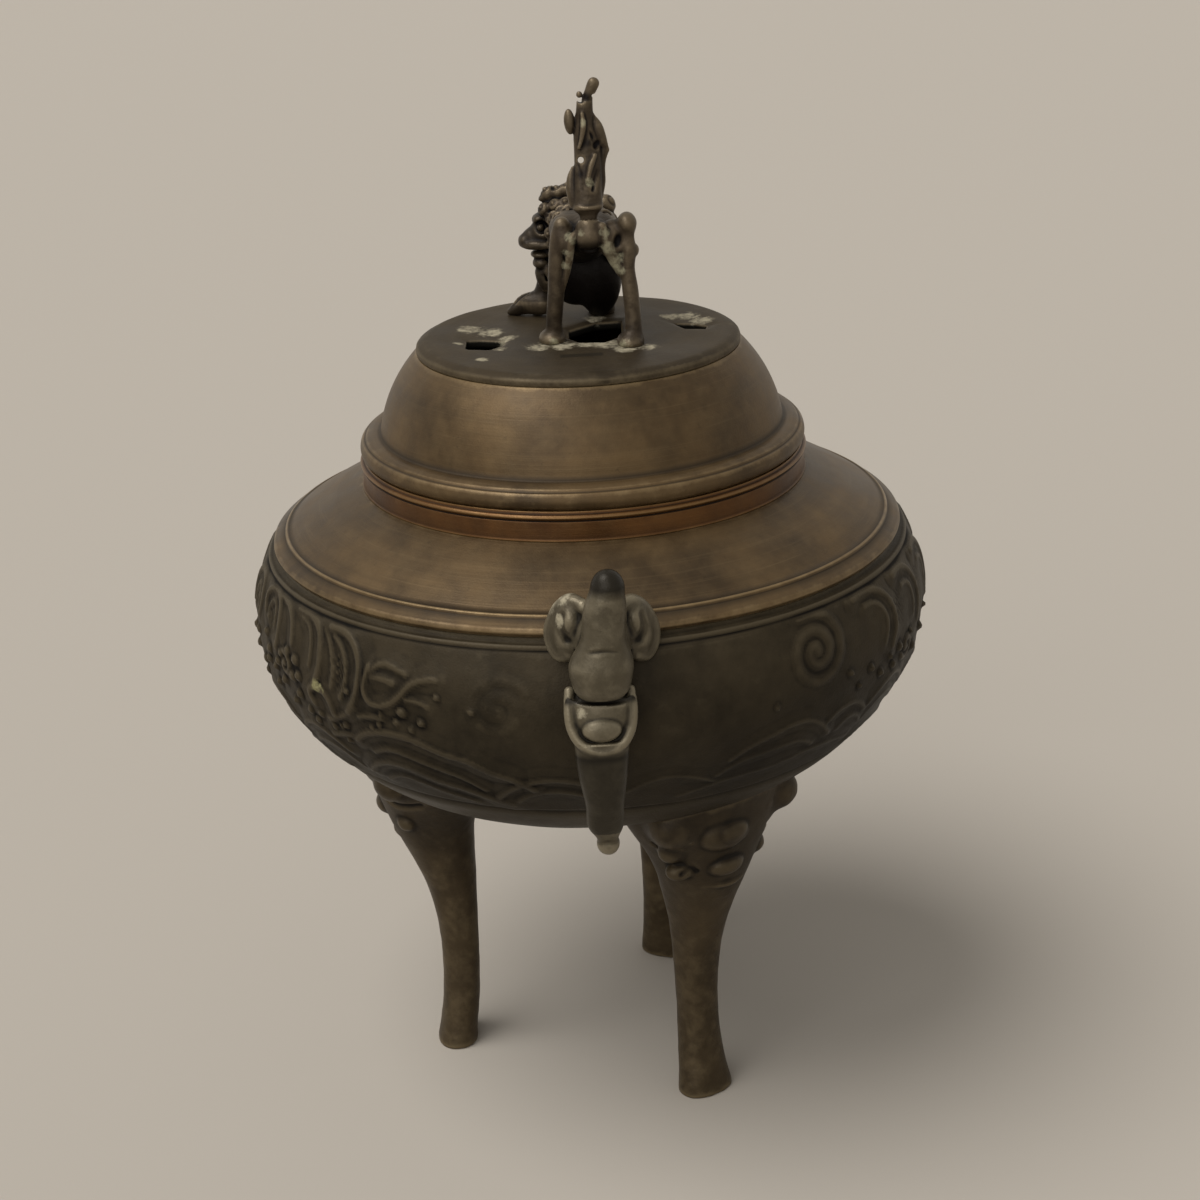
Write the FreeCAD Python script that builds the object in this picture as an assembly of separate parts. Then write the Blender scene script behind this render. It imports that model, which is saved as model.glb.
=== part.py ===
import FreeCAD, Part
import math
import os
from FreeCAD import Matrix, Vector

# A bronze tripod incense burner: bowl on three legs, two beast-head handles, lift-off lid with a lion.
# Millimetres, +Z up, origin on the floor between the feet, single leg towards -Y, handles at +X and -X.

# Heights that stack from the floor
leg_height = 58.5
bowl_height = 44.0
shoulder_height = 10.1
collar_height = 5.0
flange_height = 4.1
dome_height = 13.5
plate_thickness = 1.9

# Bowl
bowl_radius = 59.4
bowl_wall = 1.6
# Radius and height of the belly's outline, as shares of the bowl's radius and height
belly_shares = (
    (0.446, 0.000),
    (0.589, 0.038),
    (0.724, 0.113),
    (0.837, 0.237),
    (0.926, 0.393),
    (0.980, 0.545),
    (1.000, 0.712),
    (0.986, 0.851),
    (0.9476, 0.982),
)
groove_depth = 1.6
seat_width = 4.4
seat_thickness = 3.0

# Relief of waves, swells and whirls on the bowl, repeated after a half turn
relief_line_radius = 0.95
relief_sink = 0.35
crest_radius = 6.2
# Strokes are arcs: the centre's angle from the handle and share of the way up the belly, radius as a
# share of the crest's, direction from the centre to the middle, counted from the side up, and span
stroke_shares = (
    (-47.6, 0.863, 1.00, 62.0, 66.0),
    (-47.6, 0.863, 1.00, -10.0, 58.0),
    (-57.0, 0.863, 1.00, 62.0, 66.0),
    (-57.0, 0.863, 1.00, -10.0, 58.0),
    (-68.6, 0.866, 0.88, 138.0, 70.0),
    (-68.6, 0.866, 0.88, 42.0, 100.0),
    (-81.0, 0.872, 0.80, 138.0, 80.0),
    (-81.0, 0.872, 0.80, 42.0, 90.0),
    (-35.4, 0.850, 0.52, 20.0, 290.0),
    (-16.4, 0.832, 0.78, 90.0, 96.0),
    (-16.4, 0.832, 0.78, -20.0, 96.0),
    (-16.4, 0.832, 0.78, 200.0, 96.0),
    (-16.4, 0.832, 0.30, 20.0, 280.0),
    (-36.0, 0.568, 1.60, 100.0, 46.0),
    (-26.4, 0.545, 1.60, 72.0, 40.0),
    (-36.0, 0.459, 1.60, 98.0, 48.0),
    (-24.6, 0.440, 1.60, 76.0, 38.0),
    (-12.0, 0.462, 1.60, 94.0, 50.0),
    (-56.0, 0.500, 1.60, 90.0, 58.0),
    (-72.5, 0.519, 1.60, 90.0, 58.0),
    (-65.0, 0.373, 1.60, 90.0, 50.0),
    (30.5, 0.543, 1.60, 90.0, 60.0),
    (31.0, 0.424, 1.60, 90.0, 56.0),
    (36.6, 0.877, 0.80, 88.0, 96.0),
    (36.6, 0.877, 0.80, -22.0, 96.0),
    (36.6, 0.877, 0.80, 204.0, 92.0),
    (36.6, 0.877, 0.33, 160.0, 280.0),
    (45.5, 0.580, 1.15, 90.0, 60.0),
    (49.5, 0.406, 1.60, 90.0, 44.0),
    (51.0, 0.866, 0.95, 60.0, 70.0),
    (51.0, 0.866, 0.95, -14.0, 58.0),
    (58.5, 0.558, 1.40, 90.0, 60.0),
    (63.4, 0.866, 0.95, 60.0, 70.0),
    (63.4, 0.866, 0.95, -14.0, 58.0),
    (66.0, 0.400, 1.40, 90.0, 56.0),
    (73.5, 0.526, 1.40, 90.0, 60.0),
    (76.6, 0.866, 1.00, 60.0, 70.0),
    (76.6, 0.866, 1.00, -14.0, 58.0),
)

# Shoulder ring, which is set from the groove that parts it from the bowl, and collar
rim_step = 0.2
rim_bulge = 0.5
rim_widest_drop = 9.2
shoulder_inset = 1.9
shoulder_edge_drop = 7.2
shoulder_crown = 0.35
shoulder_wall = 2.2
collar_radius = 38.8
collar_wall = 2.6
collar_bead = 0.35
collar_bead_width = 1.0
collar_bead_drop = 0.5

# Lid
lid_gap = 0.4
locating_rim_wall = 1.6
locating_rim_depth = 3.2
flange_foot_inset = 0.9
flange_overhang = 0.1
flange_ridge_inset = 0.6
flange_ridge_share = 0.73
flange_widest_share = 0.39
flange_crown_inset = 1.2
flange_crown_drop = 0.25
flange_width = 3.6
dome_bulge = 1.15
dome_wall = 1.9
plate_radius = 28.0
plate_edge_inset = 1.1
plate_edge_bulge = 0.25
plate_seat_width = 2.5

# Smoke holes pierced through the lid's top plate
cloud_length = 16.5
cloud_width = 9.4
cloud_distance_shares = (0.582, 0.604)
cloud_angles = (268.0, 106.0)
# Lobes of one cloud: places along and across, and radius, as shares of its length and width
cloud_lobe_shares = (
    (-0.29, -0.06, 0.40),
    (0.00, 0.12, 0.46),
    (0.30, -0.04, 0.38),
    (0.02, -0.20, 0.34),
)
belly_hole_length = 13.0
belly_hole_width = 8.0
belly_hole_x = -3.4
belly_hole_y = 2.9

# Fits between pieces
braze_gap = 0.1
rivet_gap = 0.1
tail_gap = 0.3
overrun = 5.0

# Legs: the height of each section above the floor, its centre's distance from the axis,
# and its half sizes towards the axis and across, as shares of the leg's height and the foot's sizes
leg_angles = (-90.0, 30.0, 150.0)
leg_turn = 3.8
leg_place_share = 0.4966
foot_depth = 7.6
foot_width = 10.6
leg_section_shares = (
    (0.000, 1.000, 0.500, 0.500),
    (0.050, 0.985, 0.475, 0.460),
    (0.250, 0.946, 0.460, 0.358),
    (0.435, 0.946, 0.500, 0.387),
    (0.610, 0.980, 0.665, 0.510),
    (0.725, 1.023, 0.860, 0.700),
    (0.805, 1.050, 1.040, 0.880),
    (0.890, 1.045, 1.340, 1.130),
    (1.000, 1.010, 1.760, 1.400),
    (1.130, 1.010, 1.850, 1.430),
)
# Scroll lobes on the knee: distance from the axis, place across, height, and three half sizes
knee_depth = 6.4
knee_lobe_shares = (
    (1.340, 0.420, 0.935, 0.42, 0.70, 0.56),
    (1.330, -0.520, 0.945, 0.40, 0.66, 0.52),
    (1.225, 0.250, 0.800, 0.40, 0.54, 0.36),
    (1.170, -0.440, 0.790, 0.30, 0.46, 0.24),
    (1.250, 0.760, 0.870, 0.40, 0.42, 0.42),
    (1.240, -0.760, 0.880, 0.38, 0.42, 0.40),
    (1.300, 1.000, 1.010, 0.50, 0.60, 0.60),
    (1.300, -1.000, 1.010, 0.50, 0.60, 0.60),
)

# Handles: a beast head with a snout that curls up, ears, a lower jaw, and a stem that hangs free.
# Places are given behind the handle's front, across, and above its foot.
handle_projection = 9.2
handle_foot_height = 9.6
handle_height = 49.9
handle_width = 10.2
snout_tip_radius = 2.6
stem_tip_radius = 2.1
# Place of the upper lip above the handle's foot, as a share of its height
lip_share = 0.571
# Sections of the snout from the lip up: height above the lip as a share of the snout's height,
# depth of the centre behind the front, and half sizes along and across as shares of the handle's width
snout_shares = (
    (0.00, 0.400, 0.300, 0.400),
    (0.12, 0.390, 0.370, 0.490),
    (0.28, 0.400, 0.380, 0.500),
    (0.50, 0.400, 0.340, 0.425),
    (0.72, 0.400, 0.290, 0.325),
    (0.88, 0.420, 0.255, 0.262),
)
snout_tip_share = 0.430
# Sections of the stem from the jaw down, in the same way as shares of the stem's height
stem_top_share = 0.430
stem_shares = (
    (0.00, 0.400, 0.320, 0.430),
    (0.20, 0.400, 0.320, 0.420),
    (0.45, 0.430, 0.290, 0.350),
    (0.66, 0.520, 0.250, 0.290),
    (0.84, 0.640, 0.210, 0.225),
)
stem_tip_share = 0.680
# A rounded tip is a ball on a slightly narrower neck
tip_neck_share = 0.88
# Solid forms of the head: depth behind the front and place across as shares of the handle's width,
# height as a share of its height, then three half sizes as shares of its width
head_form_shares = (
    (0.843, 0.000, 0.679, 0.510, 0.470, 0.627),
    (0.706, 0.000, 0.512, 0.412, 0.422, 0.647),
    (0.480, 0.000, 0.463, 0.431, 0.539, 0.461),
    (1.118, 0.529, 0.733, 0.275, 0.314, 0.549),
    (1.118, -0.529, 0.733, 0.275, 0.314, 0.549),
    (1.000, 0.330, 0.775, 0.330, 0.270, 0.470),
    (1.000, -0.330, 0.775, 0.330, 0.270, 0.470),
)
tongue_shares = (0.176, 0.000, 0.463, 0.176, 0.300, 0.206)
mouth_gap = 0.9
mouth_depth = 4.6

# Rivets
rivet_radius = 1.2
rivet_head_radius = 2.1
rivet_head_height = 1.0
leg_rivet_inset = 6.3
leg_rivet_depth = 6.0
handle_rivet_share = 0.491
handle_rivet_depth = 5.0
handle_boss_length = 3.4
handle_boss_radius = 3.2
pin_radius = 0.8
pin_head_radius = 1.7
pin_head_height = 0.8
pin_depth = 3.0

# Lion on the lid, its rump towards +X and its head turned to -Y
lion_length = 30.0
lion_width = 18.0
lion_height = 24.6
# Torso sections: place along, across and up, and half sizes across and up
torso_shares = (
    (0.385, 0.150, 0.770, 0.110, 0.050),
    (0.330, 0.150, 0.772, 0.230, 0.082),
    (0.190, 0.150, 0.755, 0.280, 0.115),
    (0.040, 0.110, 0.710, 0.280, 0.160),
    (-0.130, 0.070, 0.660, 0.300, 0.210),
    (-0.300, 0.030, 0.640, 0.310, 0.260),
    (-0.420, 0.010, 0.600, 0.210, 0.180),
)
# Legs: sections from the foot up, each place along, across and up, and the limb's radius by width
lion_leg_shares = {
    "hind_left": (
        (0.170, -0.228, 0.000, 0.115),
        (0.180, -0.222, 0.070, 0.092),
        (0.192, -0.195, 0.260, 0.082),
        (0.205, -0.170, 0.480, 0.090),
        (0.225, -0.130, 0.700, 0.100),
    ),
    "hind_right": (
        (0.323, 0.478, 0.000, 0.112),
        (0.318, 0.488, 0.070, 0.088),
        (0.305, 0.503, 0.270, 0.073),
        (0.290, 0.487, 0.480, 0.080),
        (0.262, 0.440, 0.700, 0.130),
    ),
    "fore_left": (
        (-0.500, -0.370, 0.000, 0.115),
        (-0.495, -0.360, 0.090, 0.098),
        (-0.470, -0.335, 0.250, 0.085),
        (-0.420, -0.290, 0.420, 0.110),
        (-0.350, -0.200, 0.620, 0.150),
    ),
    "fore_right": (
        (-0.445, 0.260, 0.000, 0.125),
        (-0.435, 0.255, 0.090, 0.115),
        (-0.405, 0.235, 0.270, 0.120),
        (-0.360, 0.200, 0.460, 0.140),
        (-0.300, 0.140, 0.640, 0.160),
    ),
}
# Paws: place along and across, and half sizes along and across and the height
paw_shares = {
    "hind_left": (0.160, -0.228, 0.100, 0.130, 0.090),
    "hind_right": (0.313, 0.470, 0.105, 0.138, 0.090),
    "fore_left": (-0.515, -0.465, 0.095, 0.195, 0.120),
    "fore_right": (-0.470, 0.265, 0.110, 0.140, 0.105),
}
# Rounded forms: place along, across and up, and half sizes along, across and up
lion_form_shares = {
    "head": (-0.335, -0.045, 0.745, 0.150, 0.230, 0.195),
    "face": (-0.340, -0.255, 0.638, 0.105, 0.165, 0.135),
    "snout": (-0.350, -0.400, 0.592, 0.087, 0.144, 0.062),
    "brow": (-0.340, -0.290, 0.690, 0.087, 0.090, 0.057),
    "throat": (-0.350, -0.178, 0.504, 0.100, 0.165, 0.160),
    "chin": (-0.345, -0.325, 0.462, 0.065, 0.100, 0.055),
    "beard": (-0.347, -0.300, 0.372, 0.057, 0.083, 0.106),
    "chest": (-0.400, 0.020, 0.370, 0.125, 0.310, 0.295),
    "haunch_left": (0.215, -0.110, 0.700, 0.085, 0.095, 0.110),
    "haunch_right": (0.285, 0.435, 0.760, 0.110, 0.150, 0.165),
}
# Mane curls stand in rings about the head: place across, ring's radius, curl's radius, and count
mane_ring_shares = ((-0.165, 0.245, 0.108, 9), (0.040, 0.262, 0.112, 8), (0.260, 0.225, 0.108, 8))

# Tail of the lion: sections from the rump up, each place along, across and up, and half sizes
tail_height = 25.9
tail_width = 6.2
tail_thickness = 3.8
# Place of the tail's seat along, across and up, as shares of the lion's sizes
tail_place_shares = (0.200, 0.172, 0.748)
# Place of the root along and across and its pocket's radius, as shares of the tail's width
tail_root_shares = (0.420, -0.150, 0.330)
tail_shares = (
    (0.420, -0.150, 0.000, 0.490, 0.310),
    (0.420, -0.150, 0.100, 0.480, 0.300),
    (0.405, -0.140, 0.200, 0.500, 0.340),
    (0.120, 0.000, 0.400, 0.560, 0.460),
    (0.000, 0.020, 0.540, 0.520, 0.490),
    (0.000, -0.020, 0.680, 0.480, 0.380),
    (0.000, -0.080, 0.800, 0.400, 0.245),
    (0.000, 0.000, 0.880, 0.380, 0.225),
    (0.000, 0.140, 0.955, 0.330, 0.170),
)
tail_tip_share = 0.150
# Leaves of the tail: place along, across and up, half sizes along, across and up, and sideways lean
tail_leaf_shares = (
    (0.000, -0.470, 0.725, 0.330, 0.170, 0.105, -2.0),
    (0.000, 0.300, 0.655, 0.330, 0.185, 0.130, 14.0),
    (0.000, 0.500, 0.535, 0.330, 0.140, 0.050, 0.0),
    (0.100, -0.490, 0.385, 0.330, 0.110, 0.070, 4.0),
)

# Places that follow from the sizes above
bowl_base = leg_height
bowl_top = bowl_base + bowl_height
shoulder_top = bowl_top + shoulder_height
collar_top = shoulder_top + collar_height
dome_foot = collar_top + flange_height
dome_top = dome_foot + dome_height
plate_top = dome_top + plate_thickness
groove_floor_radius = belly_shares[-1][0] * bowl_radius - groove_depth
rim_foot_radius = groove_floor_radius + rim_step
rim_radius = rim_foot_radius + rim_bulge
shoulder_edge_radius = rim_foot_radius - shoulder_inset
seat_inner_radius = rim_foot_radius - seat_width
mouth_radius = collar_radius - collar_wall
locating_rim_radius = mouth_radius - lid_gap
flange_radius = collar_radius + flange_overhang
dome_foot_radius = flange_radius - flange_width
plate_seat_radius = plate_radius - plate_seat_width
foot_distance = leg_place_share * bowl_radius
leg_rivet_distance = foot_distance - leg_rivet_inset
handle_front = bowl_radius + handle_projection
handle_foot = bowl_base + handle_foot_height
handle_top = handle_foot + handle_height
upper_lip = handle_foot + lip_share * handle_height
stem_top = handle_foot + stem_top_share * handle_height
handle_rivet_z = handle_foot + handle_rivet_share * handle_height
handle_boss_inner = bowl_radius - bowl_wall - handle_boss_length
tail_x = tail_place_shares[0] * lion_length
tail_y = tail_place_shares[1] * lion_width
tail_seat = plate_top + tail_place_shares[2] * lion_height


def point(radius, height):
    return Vector(radius, 0, height)


def polar(radius, degrees, height):
    angle = math.radians(degrees)
    return Vector(radius * math.cos(angle), radius * math.sin(angle), height)


def line(start, end):
    return Part.LineSegment(start, end).toShape()


def arc(start, middle, end):
    return Part.Arc(start, middle, end).toShape()


def bulged_arc(start, end, bulge):
    chord = end - start
    side = Vector(chord.z, 0, -chord.x).normalize() * bulge
    return arc(start, (start + end) * 0.5 + side, end)


def chain(points):
    return [line(a, b) for a, b in zip(points, points[1:])]


def turned(edges):
    face = Part.Face(Part.Wire(edges))
    return face.revolve(Vector(0, 0, 0), Vector(0, 0, 1), 360)


def rod(radius, length, start, direction):
    return Part.makeCylinder(radius, length, start, direction)


def ellipsoid(centre, half_x, half_y, half_z):
    scale = Matrix()
    scale.scale(half_x, half_y, half_z)
    body = Part.makeSphere(1).transformGeometry(scale)
    body.translate(centre)
    return body


def oval(centre, first, second):
    points = []
    count = 12
    for i in range(count):
        angle = 2 * math.pi * i / count
        points.append(centre + first * math.cos(angle) + second * math.sin(angle))
    curve = Part.BSplineCurve()
    curve.interpolate(Points=points, PeriodicFlag=True)
    return Part.Wire(curve.toShape())


def flat_oval(centre, half_x, half_y):
    return oval(centre, Vector(half_x, 0, 0), Vector(0, half_y, 0))


def lofted(wires):
    return Part.makeLoft(wires, True, False)


def rounded_end(wires, tip, radius):
    neck = flat_oval(tip, tip_neck_share * radius, tip_neck_share * radius)
    return [lofted(wires + [neck]), Part.makeSphere(radius, tip)]


def fused(shapes):
    body = shapes[0]
    for shape in shapes[1:]:
        body = body.fuse(shape)
    return body


def belly_points(radius, low, height):
    return [point(r * radius, low + h * height) for r, h in belly_shares]


# Bowl
def arcs_through(points):
    return [arc(*points[i:i + 3]) for i in range(0, len(points) - 2, 2)]


def bowl_envelope(gap):
    points = belly_points(bowl_radius + gap, bowl_base - gap, bowl_height)
    foot = point(0, bowl_base - gap)
    head = chain([points[-1], point(points[-1].x, bowl_top), point(0, bowl_top), foot, points[0]])
    return turned(arcs_through(points) + head)


def bowl_block():
    points = belly_points(bowl_radius, bowl_base, bowl_height)
    rim = chain([
        points[-1],
        point(groove_floor_radius, points[-1].z),
        point(groove_floor_radius, bowl_top),
        point(0, bowl_top),
        point(0, bowl_base),
        points[0],
    ])
    return turned(arcs_through(points) + rim)


def bowl_cavity():
    points = belly_points(bowl_radius - bowl_wall, bowl_base + bowl_wall, bowl_height - bowl_wall)
    mouth = bowl_top + overrun
    rim = chain(points[-3:-1] + [
        point(seat_inner_radius, bowl_top - seat_thickness),
        point(seat_inner_radius, mouth),
        point(0, mouth),
        point(0, points[0].z),
        points[0],
    ])
    return turned(arcs_through(points[:-2]) + rim)


def belly_curve():
    curve = Part.BSplineCurve()
    curve.interpolate(belly_points(bowl_radius, bowl_base, bowl_height))
    return curve


def belly_frame(angle, share):
    """A place on the belly with the directions sideways, up and outward there."""
    curve = belly_curve()
    parameter = curve.FirstParameter + share * (curve.LastParameter - curve.FirstParameter)
    spot = curve.value(parameter)
    along = curve.tangent(parameter)[0]
    rise = polar(along.x, angle, along.z) * (1 if along.z > 0 else -1)
    sideways = polar(1, angle, 0).cross(Vector(0, 0, 1)) * -1
    return polar(spot.x, angle, spot.z), sideways, rise, sideways.cross(rise)


def stroke(angle, share, size, direction, span):
    radius = size * crest_radius
    curve = belly_curve()
    way = math.radians(direction)
    centre = belly_frame(angle, share)[0]
    across = math.degrees(radius * math.cos(way) / math.hypot(centre.x, centre.y))
    up = radius * math.sin(way) / curve.length()
    middle, sideways, rise, outward = belly_frame(angle + across, share + up)
    outward_way = sideways * math.cos(way) + rise * math.sin(way)
    place = middle - outward * relief_sink - outward_way * radius
    ring = Part.makeTorus(radius, relief_line_radius, Vector(0, 0, 0), Vector(0, 0, 1), 0, 360, span)
    ring.rotate(Vector(0, 0, 0), Vector(0, 0, 1), direction - span / 2)
    axes = (sideways, rise, outward)
    rows = [[axis[i] for axis in axes] + [place[i]] for i in range(3)]
    ring.transformShape(Matrix(*rows[0], *rows[1], *rows[2], 0, 0, 0, 1))
    return ring


def relief():
    shapes = [stroke(*shares) for shares in stroke_shares]
    twins = [shape.copy() for shape in shapes]
    for twin in twins:
        twin.rotate(Vector(0, 0, 0), Vector(0, 0, 1), 180)
    return shapes + twins


def handle_bosses():
    length = bowl_radius - bowl_wall / 2 - handle_boss_inner
    bosses = []
    for side in (1, -1):
        start = Vector(side * handle_boss_inner, 0, handle_rivet_z)
        bosses.append(rod(handle_boss_radius, length, start, Vector(side, 0, 0)))
    return bosses


def bowl():
    bosses = [boss.common(bowl_envelope(-bowl_wall / 2)) for boss in handle_bosses()]
    body = fused([fused([bowl_block()] + relief()).cut(bowl_cavity())] + bosses)
    for angle in leg_angles:
        place = polar(leg_rivet_distance, angle + leg_turn, bowl_base - overrun)
        body = body.cut(rod(rivet_radius + rivet_gap, 2 * overrun, place, Vector(0, 0, 1)))
    for side in (1, -1):
        start = Vector(side * (handle_boss_inner - overrun), 0, handle_rivet_z)
        body = body.cut(rod(rivet_radius + rivet_gap, bowl_radius, start, Vector(side, 0, 0)))
    return body


# Shoulder ring and collar
def shoulder_outline(gap):
    crown_foot = point(collar_radius + gap, shoulder_top + gap)
    edge = point(shoulder_edge_radius + gap, shoulder_top - shoulder_edge_drop + gap)
    widest = point(rim_radius + gap, shoulder_top - rim_widest_drop + gap)
    foot = point(rim_foot_radius + gap, bowl_top)
    return [
        bulged_arc(crown_foot, edge, -shoulder_crown),
        bulged_arc(edge, widest, -shoulder_crown),
        line(widest, foot),
    ]


def shoulder_envelope(gap):
    under = chain([
        point(rim_foot_radius + gap, bowl_top),
        point(0, bowl_top),
        point(0, shoulder_top + gap),
        point(collar_radius + gap, shoulder_top + gap),
    ])
    return turned(shoulder_outline(gap) + under)


def shoulder_ring():
    inner_edge = point(mouth_radius, shoulder_top)
    slope = shoulder_edge_drop / (shoulder_edge_radius - collar_radius)
    under_drop = shoulder_wall + slope * (seat_inner_radius - collar_radius)
    edges = [line(inner_edge, point(collar_radius, shoulder_top))] + shoulder_outline(0)
    edges += chain([
        point(rim_foot_radius, bowl_top),
        point(seat_inner_radius, bowl_top),
        point(seat_inner_radius, shoulder_top - under_drop),
        point(mouth_radius, shoulder_top - shoulder_wall),
        inner_edge,
    ])
    return turned(edges)


def collar():
    bead_top = collar_top - collar_bead_drop
    bead_foot = bead_top - collar_bead_width
    edges = chain([
        point(collar_radius, bead_top),
        point(collar_radius, collar_top),
        point(mouth_radius, collar_top),
        point(mouth_radius, shoulder_top),
        point(collar_radius, shoulder_top),
        point(collar_radius, bead_foot),
    ])
    edges.append(bulged_arc(point(collar_radius, bead_foot), point(collar_radius, bead_top), collar_bead))
    return turned(edges)


# Lid
def lid_dome():
    rim_foot = collar_top - locating_rim_depth
    rim_inner = locating_rim_radius - locating_rim_wall
    ridge_radius = flange_radius - flange_ridge_inset
    flange_foot = point(flange_radius - flange_foot_inset, collar_top)
    widest = point(flange_radius, collar_top + flange_widest_share * flange_height)
    ridge = point(ridge_radius, collar_top + flange_ridge_share * flange_height)
    crown = point(ridge_radius - flange_crown_inset, dome_foot - flange_crown_drop)
    dome_start = point(dome_foot_radius, dome_foot)
    dome_end = point(plate_radius, dome_top)
    inner_start = point(dome_foot_radius - dome_wall, dome_foot)
    inner_end = point(plate_seat_radius, dome_top - dome_wall)
    edges = [arc(flange_foot, widest, ridge), arc(ridge, crown, dome_start)]
    edges.append(bulged_arc(dome_start, dome_end, dome_bulge))
    edges += chain([dome_end, point(plate_seat_radius, dome_top), inner_end])
    edges.append(bulged_arc(inner_end, inner_start, -dome_bulge))
    edges += chain([
        inner_start,
        point(rim_inner, collar_top),
        point(rim_inner, rim_foot),
        point(locating_rim_radius, rim_foot),
        point(locating_rim_radius, collar_top),
        flange_foot,
    ])
    return turned(edges)


def cloud_cutter(distance, angle):
    lobes = []
    for along, across, size in cloud_lobe_shares:
        place = Vector(across * cloud_width, along * cloud_length, dome_top - overrun)
        lobes.append(rod(size * cloud_width, 2 * overrun + plate_thickness, place, Vector(0, 0, 1)))
    cutter = fused(lobes)
    cutter.translate(Vector(distance, 0, 0))
    cutter.rotate(Vector(0, 0, 0), Vector(0, 0, 1), angle)
    return cutter


def belly_hole_cutter():
    centre = Vector(belly_hole_x, belly_hole_y, dome_top - overrun)
    wire = flat_oval(centre, belly_hole_length / 2, belly_hole_width / 2)
    return Part.Face(wire).extrude(Vector(0, 0, 2 * overrun + plate_thickness))


def lid_top_plate():
    edge_foot = point(plate_radius, dome_top)
    edge_top = point(plate_radius - plate_edge_inset, plate_top)
    edges = [bulged_arc(edge_foot, edge_top, plate_edge_bulge)]
    edges += chain([edge_top, point(0, plate_top), point(0, dome_top), edge_foot])
    plate = turned(edges)
    for share, angle in zip(cloud_distance_shares, cloud_angles):
        plate = plate.cut(cloud_cutter(share * plate_radius, angle))
    plate = plate.cut(belly_hole_cutter())
    for place in pin_places():
        start = place - Vector(0, 0, plate_thickness / 2)
        plate = plate.cut(rod(pin_radius + rivet_gap, 2 * plate_thickness, start, Vector(0, 0, 1)))
    return plate


# Legs
def leg(angle):
    wires = []
    for height, centre, deep, wide in leg_section_shares:
        place = point(centre * foot_distance, height * leg_height)
        wires.append(flat_oval(place, deep * foot_depth, wide * foot_width))
    forms = [lofted(wires)]
    for out, across, up, deep, wide, tall in knee_lobe_shares:
        place = Vector(out * foot_distance, across * foot_width, up * leg_height)
        forms.append(ellipsoid(place, deep * knee_depth, wide * knee_depth, tall * knee_depth))
    body = fused(forms).cut(bowl_envelope(braze_gap))
    start = point(leg_rivet_distance, leg_height - leg_rivet_depth - rivet_gap)
    body = body.cut(rod(rivet_radius + rivet_gap, leg_rivet_depth + overrun, start, Vector(0, 0, 1)))
    body = largest_solid(body)
    body.rotate(Vector(0, 0, 0), Vector(0, 0, 1), angle + leg_turn)
    return body


def largest_solid(shape):
    return max(shape.Solids, key=lambda solid: solid.Volume)


# Handles
def handle_point(back, height):
    return point(handle_front - back * handle_width, height)


def handle_section(back, height, deep, wide):
    return flat_oval(handle_point(back, height), deep * handle_width, wide * handle_width)


def snout():
    height = handle_top - snout_tip_radius - upper_lip
    wires = []
    for up, back, deep, wide in snout_shares:
        wires.append(handle_section(back, upper_lip + up * height, deep, wide))
    return rounded_end(wires, handle_point(snout_tip_share, upper_lip + height), snout_tip_radius)


def stem():
    height = stem_top - handle_foot - stem_tip_radius
    wires = []
    for down, back, deep, wide in stem_shares:
        wires.append(handle_section(back, stem_top - down * height, deep, wide))
    return rounded_end(wires, handle_point(stem_tip_share, stem_top - height), stem_tip_radius)


def head_form(back, across, up, deep, wide, tall):
    centre = handle_point(back, handle_foot + up * handle_height) + Vector(0, across * handle_width, 0)
    return ellipsoid(centre, deep * handle_width, wide * handle_width, tall * handle_width)


def handle(turn):
    body = fused([head_form(*shares) for shares in head_form_shares] + snout() + stem())
    corner = Vector(handle_front - mouth_depth, -handle_width, upper_lip - mouth_gap / 2)
    body = body.cut(Part.makeBox(mouth_depth, 2 * handle_width, mouth_gap, corner))
    body = fused([body, head_form(*tongue_shares)])
    body = body.cut(bowl_envelope(braze_gap)).cut(shoulder_envelope(braze_gap))
    start = point(bowl_radius - bowl_wall - overrun, handle_rivet_z)
    length = bowl_wall + overrun + handle_rivet_depth + rivet_gap
    body = body.cut(rod(rivet_radius + rivet_gap, length, start, Vector(1, 0, 0)))
    body = largest_solid(body)
    body.rotate(Vector(0, 0, 0), Vector(0, 0, 1), turn)
    return body


# Rivets
def countersunk(radius, head_radius, head_height, length, place, direction):
    head = Part.makeCone(head_radius, radius, head_height, place, direction * -1)
    return fused([head, rod(radius, length, place, direction)])


def rivet(length, place, direction):
    return countersunk(rivet_radius, rivet_head_radius, rivet_head_height, length, place, direction)


def leg_rivets():
    length = bowl_wall + leg_rivet_depth
    rivets = []
    for angle in leg_angles:
        place = polar(leg_rivet_distance, angle + leg_turn, bowl_base + bowl_wall)
        rivets.append(rivet(length, place, Vector(0, 0, -1)))
    return Part.makeCompound(rivets)


def handle_rivets():
    length = bowl_radius + handle_rivet_depth - handle_boss_inner
    rivets = []
    for side in (1, -1):
        place = Vector(side * handle_boss_inner, 0, handle_rivet_z)
        rivets.append(rivet(length, place, Vector(side, 0, 0)))
    return Part.makeCompound(rivets)


def pin_places():
    places = []
    for shares in lion_leg_shares.values():
        along, across, up, radius = shares[0]
        places.append(Vector(along * lion_length, across * lion_width, dome_top))
    return places


def finial_pins():
    length = plate_thickness + pin_depth
    pins = [
        countersunk(pin_radius, pin_head_radius, pin_head_height, length, place, Vector(0, 0, 1))
        for place in pin_places()
    ]
    return Part.makeCompound(pins)


# Lion
def lion_point(along, across, up):
    return Vector(along * lion_length, across * lion_width, plate_top + up * lion_height)


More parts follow.
